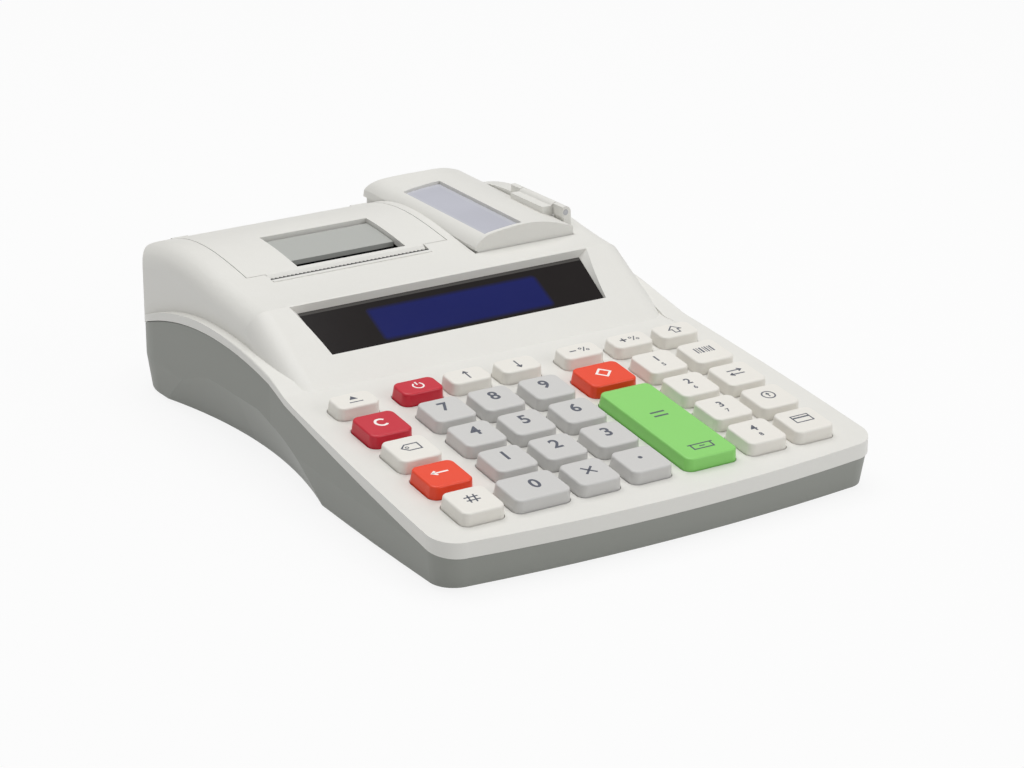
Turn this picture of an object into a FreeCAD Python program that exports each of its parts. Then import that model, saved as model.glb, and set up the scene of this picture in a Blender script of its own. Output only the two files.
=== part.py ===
import FreeCAD, Part
import Sketcher
import math
import os

V = FreeCAD.Vector

# A small ticket register: a low wedge with a sloping deck of 33 keys, a display window on the
# rising face behind them, a lift-up paper cover on the left and a fold-up customer display on
# the right. Millimetres, +Z up, the operator stands at -Y, the middle of the footprint is the origin.

os.makedirs("parts", exist_ok=True)
doc = FreeCAD.newDocument("TicketRegister")
sheet = doc.addObject("Spreadsheet::Sheet", "Sizes")

# Driving dimensions in millimetres and degrees
SIZES = [
    # Plan outline of the case
    ("case_half_front", 80.0), ("case_half_mid", 78.9), ("case_half_rear", 75.2),
    ("case_mid_y", -55.0), ("case_bend_y", 5.0), ("case_front", 111.0), ("front_bow", 3.8),
    ("front_corner", 9.0), ("case_rear", 111.0), ("rear_corner", 24.0),
    # Walls, gaps and feet
    ("wall", 2.4), ("floor_wall", 2.5), ("foot_drop", 1.5), ("joint_gap", 0.3), ("part_gap", 0.3),
    ("bottom_inset", 1.8), ("lip_inset", 0.2), ("lip_front_z", 13.0),
    ("foot_radius", 6.0), ("foot_recess", 1.0), ("foot_x", 60.0), ("foot_front_y", -88.0),
    ("foot_rear_y", 84.0),
    # Parting line between the grey tray and the pale shell, seen from the side
    ("split_front_z", 10.3), ("split_crease_z", 27.4), ("split_peak_y", 42.0), ("split_peak_z", 34.8),
    ("split_fall_y", 74.0), ("split_fall_z", 31.2), ("split_rear_z", 15.5), ("lip_high", 2.8),
    # Hollow in each side of the grey tray
    ("scoop_radius", 200.0), ("scoop_depth", 6.5), ("scoop_y", 30.0), ("scoop_high", 18.0),
    # Deck and keys
    ("deck_angle", 7.5), ("deck_front_y", -99.45), ("deck_front_z", 17.34), ("deck_wall", 2.5),
    
    ("key_w", 14.5), ("key_d", 14.1), ("key_low_d", 8.9), ("key_rise", 4.2), ("key_flare", 4.0),
    ("key_corner", 2.4), ("key_edge", 0.7), ("key_gap", 0.35), ("key_flange", 0.9),
    ("flange_wall", 0.9), ("flange_gap", 0.1), ("key_travel", 2.0), ("key_wall", 1.6),
    ("key_stop", 0.3),
    ("zero_w", 19.3), ("total_w", 18.9), ("subtotal_w", 16.9),
    ("col_one", -60.67), ("col_two", -37.54), ("col_three", -19.54), ("col_four", -0.76),
    ("col_five", 21.12), ("col_six", 42.57), ("col_seven", 60.66), ("low_row_shift", 1.9),
    ("row_pitch", 17.6), ("top_row", 72.73),
    ("mat_wall", 1.0), ("mat_half", 69.0), ("dome_radius", 3.2), ("dome_small", 2.3), ("dome_high", 1.5),
    ("board_wall", 1.6), ("keypad_half", 72.4), ("keypad_margin", 3.0), ("post_radius", 1.4),
    ("post_inset", 1.6),
    # Housing behind the deck
    ("hood_half", 72.2), ("hood_front_y", -8.0), ("crease_y", -6.5), ("rim_y", 24.0), ("rim_z", 47.6),
    ("crown_y", 79.0), ("crown_z", 53.6), ("shoulder", 8.0), ("hood_mid_y", 52.0), ("hood_mid_z", 51.1),
    ("fall_y", 97.0), ("fall_z", 51.2), ("tail_reach", 6.0), ("tail_z", 41.0),
    # Display window
    ("window_angle", 26.5), ("window_y", 5.1), ("window_z", 35.35), ("window_high", 20.7),
    ("window_half_low", 52.1), ("window_half_top", 54.1), ("window_wall", 1.5), ("recess_flare", 5.4),
    ("recess_back", 2.0), ("recess_high", 4.5), ("ledge", 1.6), ("bezel_wall", 3.2), ("bezel_half", 60.0),
    ("lcd_x", 3.5), ("lcd_w", 72.0), ("lcd_high", 19.0), ("lcd_wall", 5.0), ("view_w", 65.0),
    ("view_high", 14.8), ("view_rise", 1.0),
    # Paper cover, its hinge and the tear bar
    ("cover_left", -59.0), ("cover_right", 16.9), ("cover_front", 48.6), ("cover_rear", 104.0),
    ("tongue_left", -52.2), ("tongue_right", 7.6), ("tongue_front", 45.8), ("tongue_drop", 1.9),
    ("hinge_y", 102.2), ("hinge_z", 47.6), ("hinge_pin", 1.0), ("knuckle", 2.1), ("run_fit", 0.05),
    ("knuckle_len", 6.0), ("lug_len", 3.4), ("rear_gap", 0.9),
    ("notch_left", -39.6), ("notch_right", 1.6), ("notch_front", 52.6), ("notch_rear", 75.9),
    ("tear_left", -52.3), ("tear_right", 7.7), ("tear_back", 44.9), ("tear_depth", 2.6),
    ("tear_wall", 0.6), ("tooth_pitch", 1.5), ("tooth_long", 0.9),
    # Release lever in the cover
    ("lever_sink", 1.5), ("lever_wall", 1.8), ("lever_front", 57.0), ("lever_rear", 74.9),
    ("lever_lip", 2.6), ("lever_pin", 1.0), ("lever_pin_y", 73.2), ("lever_pin_z", 49.3),
    ("lever_boss", 2.6), ("lever_lug", 3.0),
    # Printer
    ("platen_y", 54.0), ("platen_z", 42.8), ("platen_radius", 4.2), ("shaft_radius", 1.5),
    ("platen_left", -51.2), ("platen_right", 6.6), ("arm_wall", 1.5), ("arm_gap", 0.4), ("arm_wide", 7.0),
    ("plate_wall", 2.0), ("frame_left", -56.4), ("frame_right", 9.2), ("frame_front", 47.0),
    ("frame_rear", 61.0), ("frame_top", 46.0), ("gear_module", 0.5), ("platen_teeth", 16),
    ("drive_teeth", 20), ("gear_wide", 3.0), ("gear_slack", 0.1), ("drive_angle", -50.0),
    ("motor_radius", 7.0), ("motor_len", 20.0), ("outer_plate_x", 15.9), ("outer_plate_wall", 1.6),
    ("head_wall", 2.6), ("head_front", 48.6), ("head_rear", 56.5),
    # Paper tray
    ("tray_left", -53.6), ("tray_right", 9.0), ("tray_front", 63.0), ("tray_rear", 99.0),
    ("tray_wall", 1.8), ("tray_top", 45.0), ("tray_floor_z", 8.0),
    # Customer display on the right
    ("pod_left", 20.8), ("pod_right", 59.8), ("pod_front", 35.8), ("pod_rear", 111.0),
    ("pod_floor_z", 46.3), ("pod_split_z", 49.3), ("pod_peak_z", 55.7), ("pod_right_z", 51.4),
    ("pod_left_z", 50.4), ("pod_slope", 1.2), ("pod_wall", 1.8), ("pod_round", 9.0), ("pod_gap", 0.4),
    ("pod_swing", 0.6),
    ("pod_peak_x", 41.0), ("pod_shoulder_x", 30.4), ("pod_shoulder_z", 54.9),
    ("pod_window_left", 25.4), ("pod_window_right", 40.2), ("pod_window_front", 37.6),
    ("pod_window_rear", 91.0), ("pod_window_sink", 1.1), ("pod_window_wall", 1.2),
    ("pod_hinge_x", 60.9), ("pod_hinge_z", 54.6), ("pod_barrel", 2.1), ("pod_pin", 1.0),
    ("barrel_front", 42.0), ("barrel_rear", 75.0), ("barrel_end", 6.0), ("pocket_wall", 2.2),
    # Inside
    ("board_half", 56.0), ("board_front", -60.0), ("board_rear", 38.0), ("board_z", 8.0),
    ("board_post", 3.0), ("chip_high", 1.6),
    ("battery_left", 20.0), ("battery_right", 58.0), ("battery_front", 46.0), ("battery_rear", 88.0),
    ("battery_high", 19.0),
    ("screw_front_x", 62.0), ("screw_front_y", 4.0), ("screw_rear_x", 59.5), ("screw_rear_y", 96.0),
    ("boss_joint_z", 18.0), ("boss_radius", 4.5), ("high_boss", 3.6), ("screw_radius", 1.5),
    ("screw_head", 2.7), ("screw_head_high", 2.2), ("screw_len", 26.0), ("head_gap", 0.2),
    # Sockets at the rear
    ("socket_z", 9.5), ("power_x", 26.0), ("power_half", 4.8), ("power_bore", 2.8), ("power_deep", 9.0),
    ("data_x", 42.0), ("data_half", 7.2), ("socket_high", 11.0), ("data_w", 10.0), ("data_tall", 7.0),
    ("data_deep", 10.0), ("socket_long", 12.0),
]

for number, (alias, size) in enumerate(SIZES, start=1):
    sheet.set("A%d" % number, alias)
    sheet.set("B%d" % number, str(size))
    sheet.setAlias("B%d" % number, alias)
doc.recompute()


def val(alias):
    """The size held in the sheet under this name."""
    return float(sheet.get(alias))


def point(x, y, z=0.0):
    return V(x, y, z)


def feature(label, shape):
    """A document object that holds a finished shape."""
    item = doc.addObject("Part::Feature", label)
    item.Shape = shape
    item.Label = label
    return item


def prim(kind, label, sizes, place):
    """A primitive whose sizes and place are bound to the sheet."""
    item = doc.addObject("Part::" + kind, label)
    item.Label = label
    for prop, formula in sizes.items():
        item.setExpression(prop, formula)
    for axis, formula in zip("xyz", place):
        item.setExpression("Placement.Base." + axis, formula)
    return item


def box(label, size, place):
    return prim("Box", label, dict(zip(("Length", "Width", "Height"), size)), place)


def turned(item, axis, angle):
    """Turn a primitive about one axis through its own corner or centre."""
    item.Placement = FreeCAD.Placement(item.Placement.Base, FreeCAD.Rotation(axis, angle))
    return item


def rod(label, radius, length, place, axis=V(0, 0, 1)):
    """A cylinder along Z, X or Y."""
    item = prim("Cylinder", label, {"Radius": radius, "Height": length}, place)
    if axis.x:
        turned(item, V(0, 1, 0), 90)
    if axis.y:
        turned(item, V(1, 0, 0), -90)
    return item


def joined(label, items):
    """Items grown together into one solid."""
    item = doc.addObject("Part::MultiFuse", label)
    item.Shapes = items
    item.Refine = True
    item.Label = label
    return item


def carved(label, base, tool):
    """One item with another cut out of it."""
    item = doc.addObject("Part::Cut", label)
    item.Base = base
    item.Tool = tool
    item.Label = label
    return item


def grouped(label, items):
    """Separate solids kept together as one named group."""
    item = doc.addObject("Part::Compound", label)
    item.Links = items
    item.Label = label
    return item


def ref(alias):
    return "Sizes." + alias


def block(x_low, x_high, y_low, y_high, z_low, z_high):
    """A plain box between two corners, as a shape."""
    shape = Part.makeBox(x_high - x_low, y_high - y_low, z_high - z_low)
    shape.translate(V(x_low, y_low, z_low))
    return shape


def bar(radius, length, base, axis):
    return Part.makeCylinder(radius, length, base, axis)


def arc(first, middle, last):
    return Part.Arc(first, middle, last).toShape()


def line(first, last):
    return Part.makeLine(first, last)


def spline(points):
    curve = Part.BSplineCurve()
    curve.interpolate(points)
    return curve.toShape()


def prism_x(edges, half):
    """A side profile drawn in the YZ plane, carried from -half to +half along X."""
    face = Part.Face(Part.Wire(edges))
    face.translate(V(-half, 0, 0))
    return face.extrude(V(2 * half, 0, 0))


# Frames used by several pieces
DECK = math.radians(val("deck_angle"))
UP_DECK = V(0, math.cos(DECK), math.sin(DECK))
OFF_DECK = V(0, -math.sin(DECK), math.cos(DECK))
DECK_FRONT = V(0, val("deck_front_y"), val("deck_front_z"))
DECK_TURN = FreeCAD.Rotation(V(1, 0, 0), val("deck_angle"))
WINDOW = math.radians(val("window_angle"))
UP_WINDOW = V(0, math.cos(WINDOW), math.sin(WINDOW))
OFF_WINDOW = V(0, -math.sin(WINDOW), math.cos(WINDOW))
WINDOW_LOW = V(0, val("window_y"), val("window_z"))
WINDOW_TURN = FreeCAD.Rotation(V(1, 0, 0), val("window_angle"))
SPAN = 2 * val("case_half_front")
SKY = val("crown_z") + val("key_rise") + val("pod_wall") * 10
WALL = val("wall")


def on_deck(x, along, height=0.0):
    """A point at a distance up the deck and a height off its surface."""
    return V(x, 0, 0) + DECK_FRONT + UP_DECK * along + OFF_DECK * height


def deck_z(y):
    return val("deck_front_z") + (y - val("deck_front_y")) * math.tan(DECK)


def on_window(x, along, height=0.0):
    return V(x, 0, 0) + WINDOW_LOW + UP_WINDOW * along + OFF_WINDOW * height


# Plan outline: bowed front, tapered sides, round corners
def outline(inset, z):
    front_half = val("case_half_front") - inset
    middle_half = val("case_half_mid") - inset
    rear_half = val("case_half_rear") - inset
    apex = -val("case_front") + inset
    shoulder_y = apex + val("front_bow")
    corner = val("front_corner") - inset / 2
    rear = val("case_rear") - inset
    rear_round = val("rear_corner") - inset
    slant = math.sqrt(0.5)
    right = [
        (front_half - corner, shoulder_y),
        (front_half - corner * (1 - slant), shoulder_y + corner * (1 - slant)),
        (front_half, shoulder_y + corner),
        (middle_half, val("case_mid_y")),
        (rear_half, val("case_bend_y")),
        (rear_half, rear - rear_round),
        (rear_half - rear_round * (1 - slant), rear - rear_round * (1 - slant)),
        (rear_half - rear_round, rear),
    ]
    east = [point(x, y, z) for x, y in right]
    west = [point(-x, y, z) for x, y in right]
    edges = [
        arc(west[0], point(0, apex, z), east[0]),
        arc(east[0], east[1], east[2]),
        arc(east[2], east[3], east[4]),
        line(east[4], east[5]),
        arc(east[5], east[6], east[7]),
        line(east[7], west[7]),
        arc(west[7], west[6], west[5]),
        line(west[5], west[4]),
        arc(west[4], west[3], west[2]),
        arc(west[2], west[1], west[0]),
    ]
    return Part.Wire(edges)


def column(inset, z_low, z_high):
    return Part.Face(outline(inset, z_low)).extrude(V(0, 0, z_high - z_low))


# Parting line, seen from the side: straight beside the deck, arched beside the housing
def split_points(lift):
    return [
        V(0, -val("case_front") - WALL, val("split_front_z") + lift),
        V(0, val("crease_y"), val("split_crease_z") + lift),
        V(0, val("split_peak_y"), val("split_peak_z") + lift),
        V(0, val("split_fall_y"), val("split_fall_z") + lift),
        V(0, val("case_rear") + WALL, val("split_rear_z") + lift),
    ]


def under_split(lift, floor_z):
    """Everything below the parting line, moved up by lift."""
    curve = split_points(lift)
    front_low = V(0, curve[0].y, floor_z)
    rear_low = V(0, curve[-1].y, floor_z)
    edges = [
        line(front_low, curve[0]),
        line(curve[0], curve[1]),
        spline(curve[1:]),
        line(curve[-1], rear_low),
        line(rear_low, front_low),
    ]
    return prism_x(edges, SPAN)


def under_belt(drop):
    """Below the deck in front, and below the lip over the parting line behind, lowered by drop."""
    lift = val("lip_high") - drop
    meet_y = val("rim_y")
    front = V(0, -val("case_front") - WALL, deck_z(-val("case_front") - WALL) - drop)
    behind = [p for p in split_points(lift) if p.y > meet_y]
    meet = V(0, meet_y * 0.5, deck_z(meet_y * 0.5) - drop)
    floor_z = -val("foot_drop")
    front_low = V(0, front.y, floor_z)
    rear_low = V(0, behind[-1].y, floor_z)
    edges = [
        line(front_low, front),
        line(front, meet),
        spline([meet] + behind),
        line(behind[-1], rear_low),
        line(rear_low, front_low),
    ]
    return prism_x(edges, SPAN)


def hood(inset, low_z):
    """The housing behind the deck: rising face, gently arched top, falling tail."""
    rise = math.atan2(val("rim_z") - deck_z(val("crease_y")), val("rim_y") - val("crease_y"))
    front_y = val("hood_front_y") + inset
    start_z = deck_z(val("crease_y")) + (front_y - val("crease_y")) * math.tan(rise) - inset / math.cos(rise)
    rim = V(0, val("rim_y") + inset * math.tan(rise / 2), val("rim_z") - inset)
    tail = V(0, val("case_rear") + val("tail_reach"), val("tail_z") - inset)
    top = [
        rim,
        V(0, val("hood_mid_y"), val("hood_mid_z") - inset),
        V(0, val("crown_y"), val("crown_z") - inset),
        V(0, val("fall_y"), val("fall_z") - inset),
        tail,
    ]
    foot_front = V(0, front_y, low_z)
    foot_rear = V(0, tail.y, low_z)
    edges = [
        line(foot_front, V(0, front_y, start_z)),
        line(V(0, front_y, start_z), rim),
        spline(top),
        line(tail, foot_rear),
        line(foot_rear, foot_front),
    ]
    solid = prism_x(edges, val("hood_half") - inset)
    ridge = []
    for edge in solid.Edges:
        ends = [v.Point for v in edge.Vertexes]
        along_side = all(abs(abs(p.x) - (val("hood_half") - inset)) < 0.01 for p in ends)
        on_top = all(p.z > start_z - 0.01 for p in ends)
        longer = abs(ends[0].y - ends[-1].y) > 1
        if along_side and on_top and longer and ends[0].x * ends[-1].x > 0:
            ridge.append(edge)
    return solid.makeFillet(val("shoulder") - inset, ridge)


# Two shapes that the shell and the cover are both cut from
hood_low_z = val("boss_joint_z")
outer_hood = hood(0.0, hood_low_z).common(column(0.0, hood_low_z, SKY))
inner_hood = hood(WALL, -val("foot_drop")).common(column(WALL, -val("foot_drop"), SKY))
belt = column(0.0, -val("foot_drop") / 2, SKY).common(under_belt(0.0))
belt_space = column(WALL, -val("foot_drop"), SKY).common(under_belt(val("deck_wall")))
shell_outside = belt.fuse(outer_hood)
shell_inside = belt_space.fuse(inner_hood)


def cover_zone(gap, z_low=None):
    """Plan of the paper cover with its front tongue, grown by gap, over the full height."""
    low = val("boss_joint_z") if z_low is None else z_low
    main = block(
        val("cover_left") - gap, val("cover_right") + gap,
        val("cover_front") - gap, val("cover_rear") + (val("rear_gap") if gap else 0.0), low, SKY,
    )
    tongue = block(
        val("tongue_left") - gap, val("tongue_right") + gap,
        val("tongue_front") - gap, val("cover_front") + WALL, low, SKY,
    )
    return main.fuse(tongue)


def window_plan(grow, height):
    """The display window's outline, grown by grow, at a height off the window plane."""
    low = val("window_half_low") + grow
    top = val("window_half_top") + grow
    corners = [
        on_window(-low, -grow, height), on_window(low, -grow, height),
        on_window(top, val("window_high") + grow, height),
        on_window(-top, val("window_high") + grow, height),
    ]
    return Part.makePolygon(corners + corners[:1])


def window_slab(grow, height_low, height_high):
    return Part.Face(window_plan(grow, height_low)).extrude(OFF_WINDOW * (height_high - height_low))


def window_recess():
    """Funnel from the housing's face down to the window, deepest along its upper wall."""
    high = val("recess_high")
    low_half = val("window_half_low") + val("part_gap") * 2
    top_half = val("window_half_top") + val("recess_flare")
    corners = [
        on_window(-low_half, -val("part_gap"), high), on_window(low_half, -val("part_gap"), high),
        on_window(top_half, val("window_high") + val("recess_back"), high),
        on_window(-top_half, val("window_high") + val("recess_back"), high),
    ]
    mouth = Part.makePolygon(corners + corners[:1])
    return Part.makeLoft([window_plan(val("part_gap") / 2, 0.0), mouth], True, True)


def bezel():
    """Solid frame behind the window that carries it."""
    depth = val("window_wall") + val("bezel_wall")
    half = val("bezel_half")
    size = V(2 * half, val("window_high") + 2 * val("bezel_wall"), depth + val("recess_high"))
    shape = Part.makeBox(size.x, size.y, size.z)
    start = on_window(-half, -val("bezel_wall"), -depth)
    shape.Placement = FreeCAD.Placement(start, WINDOW_TURN)
    return shape


def pod_pocket(grow):
    return block(
        val("pod_left") - grow, val("pod_right") + grow, val("pod_front") - grow,
        val("case_rear") + WALL, val("pod_floor_z") - grow, SKY,
    )


# Columns, rows and names of the keys: name, column, row, width, depth, how far it is shifted
COLUMNS = [val("col_" + word) for word in ("one", "two", "three", "four", "five", "six", "seven")]
PLAIN = ("key_w", "key_d")
ROW_NAMES = [
    ["price", "zero", "multiply", "point", None, "group_seven", "group_eight"],
    ["lookup", "one", "two", "three", None, "group_five", "group_six"],
    ["code", "four", "five", "six", "total", "group_three", "group_four"],
    ["clear", "seven", "eight", "nine", "subtotal", "group_one", "group_two"],
    ["feed", "on", "up", "down", "minus_percent", "plus_percent", "void"],
]


def key_list():
    """One entry per key: name, centre across, centre up the deck, width name, depth formula."""
    keys = []
    for row, names in enumerate(ROW_NAMES):
        top = row == len(ROW_NAMES) - 1
        start = val("top_row") if top else row * val("row_pitch")
        depth = val("key_low_d") if top else val("key_d")
        for column_x, name in zip(COLUMNS, names):
            if name is None:
                continue
            x, width, long = column_x, "key_w", depth
            if name == "zero":
                width = "zero_w"
                x = column_x + (val("key_w") - val("zero_w")) / 2
            if name == "total":
                width = "total_w"
                long = 2 * val("row_pitch") + val("key_d")
            if name == "subtotal":
                width = "subtotal_w"
            if name == "minus_percent":
                x = column_x + val("low_row_shift")
            middle = start + depth / 2
            if name == "total":
                middle = long / 2
            keys.append((name, x, middle, width, long))
    return keys


KEYS = key_list()
KEY_FOOT = val("deck_wall") + val("flange_gap") + val("flange_wall")
MAT_TOP = KEY_FOOT + val("key_travel") + val("key_stop")
FLARE = val("key_rise") * math.tan(math.radians(val("key_flare")))


def deck_block(x, along, wide, long, low, high):
    """A box square to the deck, by its middle, with its heights off the deck's surface."""
    shape = Part.makeBox(wide, long, high - low)
    start = on_deck(x - wide / 2, along - long / 2, low)
    shape.Placement = FreeCAD.Placement(start, DECK_TURN)
    return shape


def key_hole(x, along, wide, long):
    grow = 2 * (FLARE + val("key_gap"))
    shape = deck_block(x, along, wide + grow, long + grow, -2 * val("deck_wall"), val("deck_wall"))
    upright = [e for e in shape.Edges if abs(e.tangentAt(e.FirstParameter).dot(OFF_DECK)) > 0.99]
    return shape.makeFillet(val("key_corner") + FLARE + val("key_gap"), upright)


def deck_post(x, along):
    return bar(val("post_radius"), MAT_TOP + val("mat_wall") - val("deck_wall") / 2,
               on_deck(x, along, -val("deck_wall") / 2), OFF_DECK * -1)


def tear_seat():
    """The shallow step that the serrated blade lies in, along the opening's front edge."""
    return block(
        val("tear_left") - val("run_fit"), val("tear_right") + val("run_fit"),
        val("tear_back") - val("tear_depth"), val("cover_front"),
        tear_top() - val("tear_wall"), SKY,
    )


def tear_top():
    """Height of the blade's upper face: the housing's top at the blade's front edge."""
    rim_y = val("rim_y")
    share = (val("tear_back") - val("tear_depth") - rim_y) / (val("hood_mid_y") - rim_y)
    return val("rim_z") + share * (val("hood_mid_z") - val("rim_z"))


# Pale upper shell
def upper_case():
    keep = bezel()
    pocket_keep = pod_pocket(val("pocket_wall"))
    solid_inside = shell_inside.cut(keep).cut(pocket_keep)
    shell = shell_outside.cut(solid_inside)
    low_z = -2 * val("foot_drop")
    rim_ring = column(-WALL, low_z, SKY).cut(
        column(WALL + val("lip_inset") + val("run_fit"), low_z, SKY))
    shell = shell.cut(rim_ring.common(under_split(0.0, low_z)))
    shell = shell.cut(window_recess())
    shell = shell.cut(window_slab(val("part_gap") / 2, -val("window_wall"), val("run_fit")))
    shell = shell.cut(window_slab(-val("ledge"), -2 * val("bezel_wall") - val("window_wall"), 0.0))
    shell = shell.cut(pod_pocket(val("pod_gap")))
    shell = shell.cut(cover_zone(val("part_gap"), val("frame_top") - val("wall") * 2))
    shell = shell.cut(tear_seat())
    hinge_start = V(val("pod_hinge_x"), val("barrel_front"), val("pod_hinge_z"))
    shell = shell.cut(bar(val("pod_barrel") + val("part_gap"), val("barrel_rear") - val("barrel_front"),
                          hinge_start, V(0, 1, 0)))
    for name, x, along, width, long in KEYS:
        shell = shell.cut(key_hole(x, along, val(width), long))
    additions = []
    side = val("keypad_half") - val("post_inset")
    for x in (-side, side):
        for along in (val("row_pitch") / 2, 2.5 * val("row_pitch"), 4.4 * val("row_pitch")):
            additions.append(deck_post(x, along))
    for x, y in screw_places():
        rod_shape = bar(val("high_boss"), SKY, V(x, y, val("boss_joint_z")), V(0, 0, 1))
        additions.append(rod_shape.common(shell_inside.cut(keep).cut(pocket_keep)))
    for x_low in (val("cover_left") - val("part_gap") - val("lug_len"), val("cover_right") + val("part_gap")):
        lug = block(x_low, x_low + val("lug_len"), val("hinge_y") - 2 * val("knuckle"),
                    val("hinge_y") + val("knuckle"), val("hinge_z") - val("knuckle"), SKY)
        additions.append(lug.common(shell_inside.fuse(shell_outside)))
    for y in (val("barrel_front"), val("barrel_rear") - val("barrel_end")):
        ear = bar(val("pod_barrel"), val("barrel_end"), V(val("pod_hinge_x"), y, val("pod_hinge_z")), V(0, 1, 0))
        root = block(val("pod_right") + val("pod_gap"), val("pod_hinge_x") + val("pod_barrel"),
                     y, y + val("barrel_end"), val("pod_hinge_z") - 3 * val("pod_barrel"), val("pod_hinge_z"))
        additions.append(ear.cut(pod_pocket(0.0)).fuse(root))
    shell = shell.fuse(additions)
    pin_room = bar(val("hinge_pin") + val("run_fit"), SPAN,
                   V(-SPAN / 2 - val("tear_right"), val("hinge_y"), val("hinge_z")), V(1, 0, 0))
    reach = block(val("cover_left") - val("part_gap") - val("lug_len"), val("cover_right") + val("part_gap")
                  + val("lug_len"), val("hinge_y") - WALL, val("hinge_y") + WALL, 0, SKY)
    shell = shell.cut(pin_room.common(reach))
    shell = shell.cut(bar(val("pod_pin") + val("run_fit"), val("barrel_rear") - val("barrel_front"),
                          V(val("pod_hinge_x"), val("barrel_front"), val("pod_hinge_z")), V(0, 1, 0)))
    for x, y in screw_places():
        shell = shell.cut(bar(val("screw_radius"), screw_tip_z() - val("boss_joint_z"),
                              V(x, y, val("boss_joint_z")), V(0, 0, 1)))
    return feature("upper_case", shell.removeSplitter())


def screw_places():
    return [
        (sign * val(where + "_x"), val(where + "_y"))
        for where in ("screw_front", "screw_rear") for sign in (-1, 1)
    ]


def foot_places():
    return [
        (sign * val("foot_x"), val(where)) for where in ("foot_front_y", "foot_rear_y") for sign in (-1, 1)
    ]


def scoop(side, grow):
    """The hollow in one side of the tray: a cone whose axis stands far outside the wall."""
    radius = val("scoop_radius") + grow
    rise = val("scoop_high")
    centre = side * (val("case_half_rear") - val("bottom_inset") - val("scoop_depth") + val("scoop_radius"))
    return Part.makeCone(radius, radius - val("scoop_depth") - val("bottom_inset") / 2, rise,
                         V(centre, val("scoop_y"), val("foot_drop")))


# Grey lower tray
def lower_case():
    base_z = val("foot_drop")
    top_z = val("split_peak_z") + WALL
    outside = Part.makeLoft([
        outline(val("bottom_inset"), base_z), outline(val("lip_inset"), val("lip_front_z")),
        outline(val("lip_inset"), top_z),
    ], True, True)
    inside = Part.makeLoft([
        outline(val("bottom_inset") + WALL, base_z + val("floor_wall")),
        outline(val("lip_inset") + WALL, val("lip_front_z")),
        outline(val("lip_inset") + WALL, top_z + WALL),
    ], True, True)
    for side in (-1, 1):
        outside = outside.cut(scoop(side, 0.0))
        inside = inside.cut(scoop(side, WALL))
    shell = outside.cut(inside).common(under_split(-val("joint_gap"), -val("foot_drop")))
    floor_z = base_z + val("floor_wall") / 2
    additions = []
    for x, y in screw_places():
        additions.append(bar(val("boss_radius"), val("boss_joint_z") - floor_z, V(x, y, floor_z), V(0, 0, 1)))
    for x in (-val("board_half") + val("board_post") + 1, val("board_half") - val("board_post") - 1):
        for y in (val("board_front") + val("board_post") + 1, val("board_rear") - val("board_post") - 1):
            additions.append(bar(val("board_post"), val("board_z") - floor_z, V(x, y, floor_z), V(0, 0, 1)))
    shell = shell.fuse(additions)
    head_room = val("head_gap")
    for x, y in screw_places():
        shell = shell.cut(bar(val("screw_head") + head_room, screw_seat_z() - base_z, V(x, y, base_z), V(0, 0, 1)))
        shell = shell.cut(bar(val("screw_radius") + head_room, val("boss_joint_z"), V(x, y, base_z), V(0, 0, 1)))
    for x, y in foot_places():
        shell = shell.cut(bar(val("foot_radius"), val("foot_recess"), V(x, y, base_z), V(0, 0, 1)))
    shell = shell.cut(socket_block(val("part_gap")))
    return feature("lower_case", shell.removeSplitter())


def screw_seat_z():
    return val("foot_drop") + val("floor_wall") + val("screw_head_high")


def screw_tip_z():
    return screw_seat_z() + val("screw_len") - val("screw_head_high")


def socket_face():
    """The plane of the sockets' mouths, just under the wall's outer face at the tray's floor."""
    slant = (val("bottom_inset") - val("lip_inset")) / (val("lip_front_z") - val("foot_drop"))
    return val("case_rear") - val("bottom_inset") + slant * val("floor_wall")


def socket_block(gap):
    """The housing of both sockets, grown by gap on its sides and up to the parting line."""
    low = val("foot_drop") + val("floor_wall")
    high = SKY if gap else low + val("socket_high")
    return block(val("power_x") - val("power_half") - gap, val("data_x") + val("data_half") + gap,
                 socket_face() - val("socket_long"), socket_face() + (WALL if gap else 0), low, high)


def rear_sockets():
    """One housing that stands on the tray's floor and fills its notch: a round and a square socket."""
    face = socket_face()
    middle = val("socket_z")
    housing = socket_block(0)
    housing = housing.cut(bar(val("power_bore"), val("power_deep"),
                              V(val("power_x"), face - val("power_deep"), middle), V(0, 1, 0)))
    housing = housing.cut(block(val("data_x") - val("data_w") / 2, val("data_x") + val("data_w") / 2,
                                face - val("data_deep"), face, middle - val("data_tall") / 2,
                                middle + val("data_tall") / 2))
    return feature("rear_sockets", housing)


# Keys: each is a cap with a skirt, a retaining flange below the deck and a hollow for its dome
def own_plane(body, role):
    return [f for f in body.Origin.OriginFeatures if f.Role == role][0]


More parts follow.
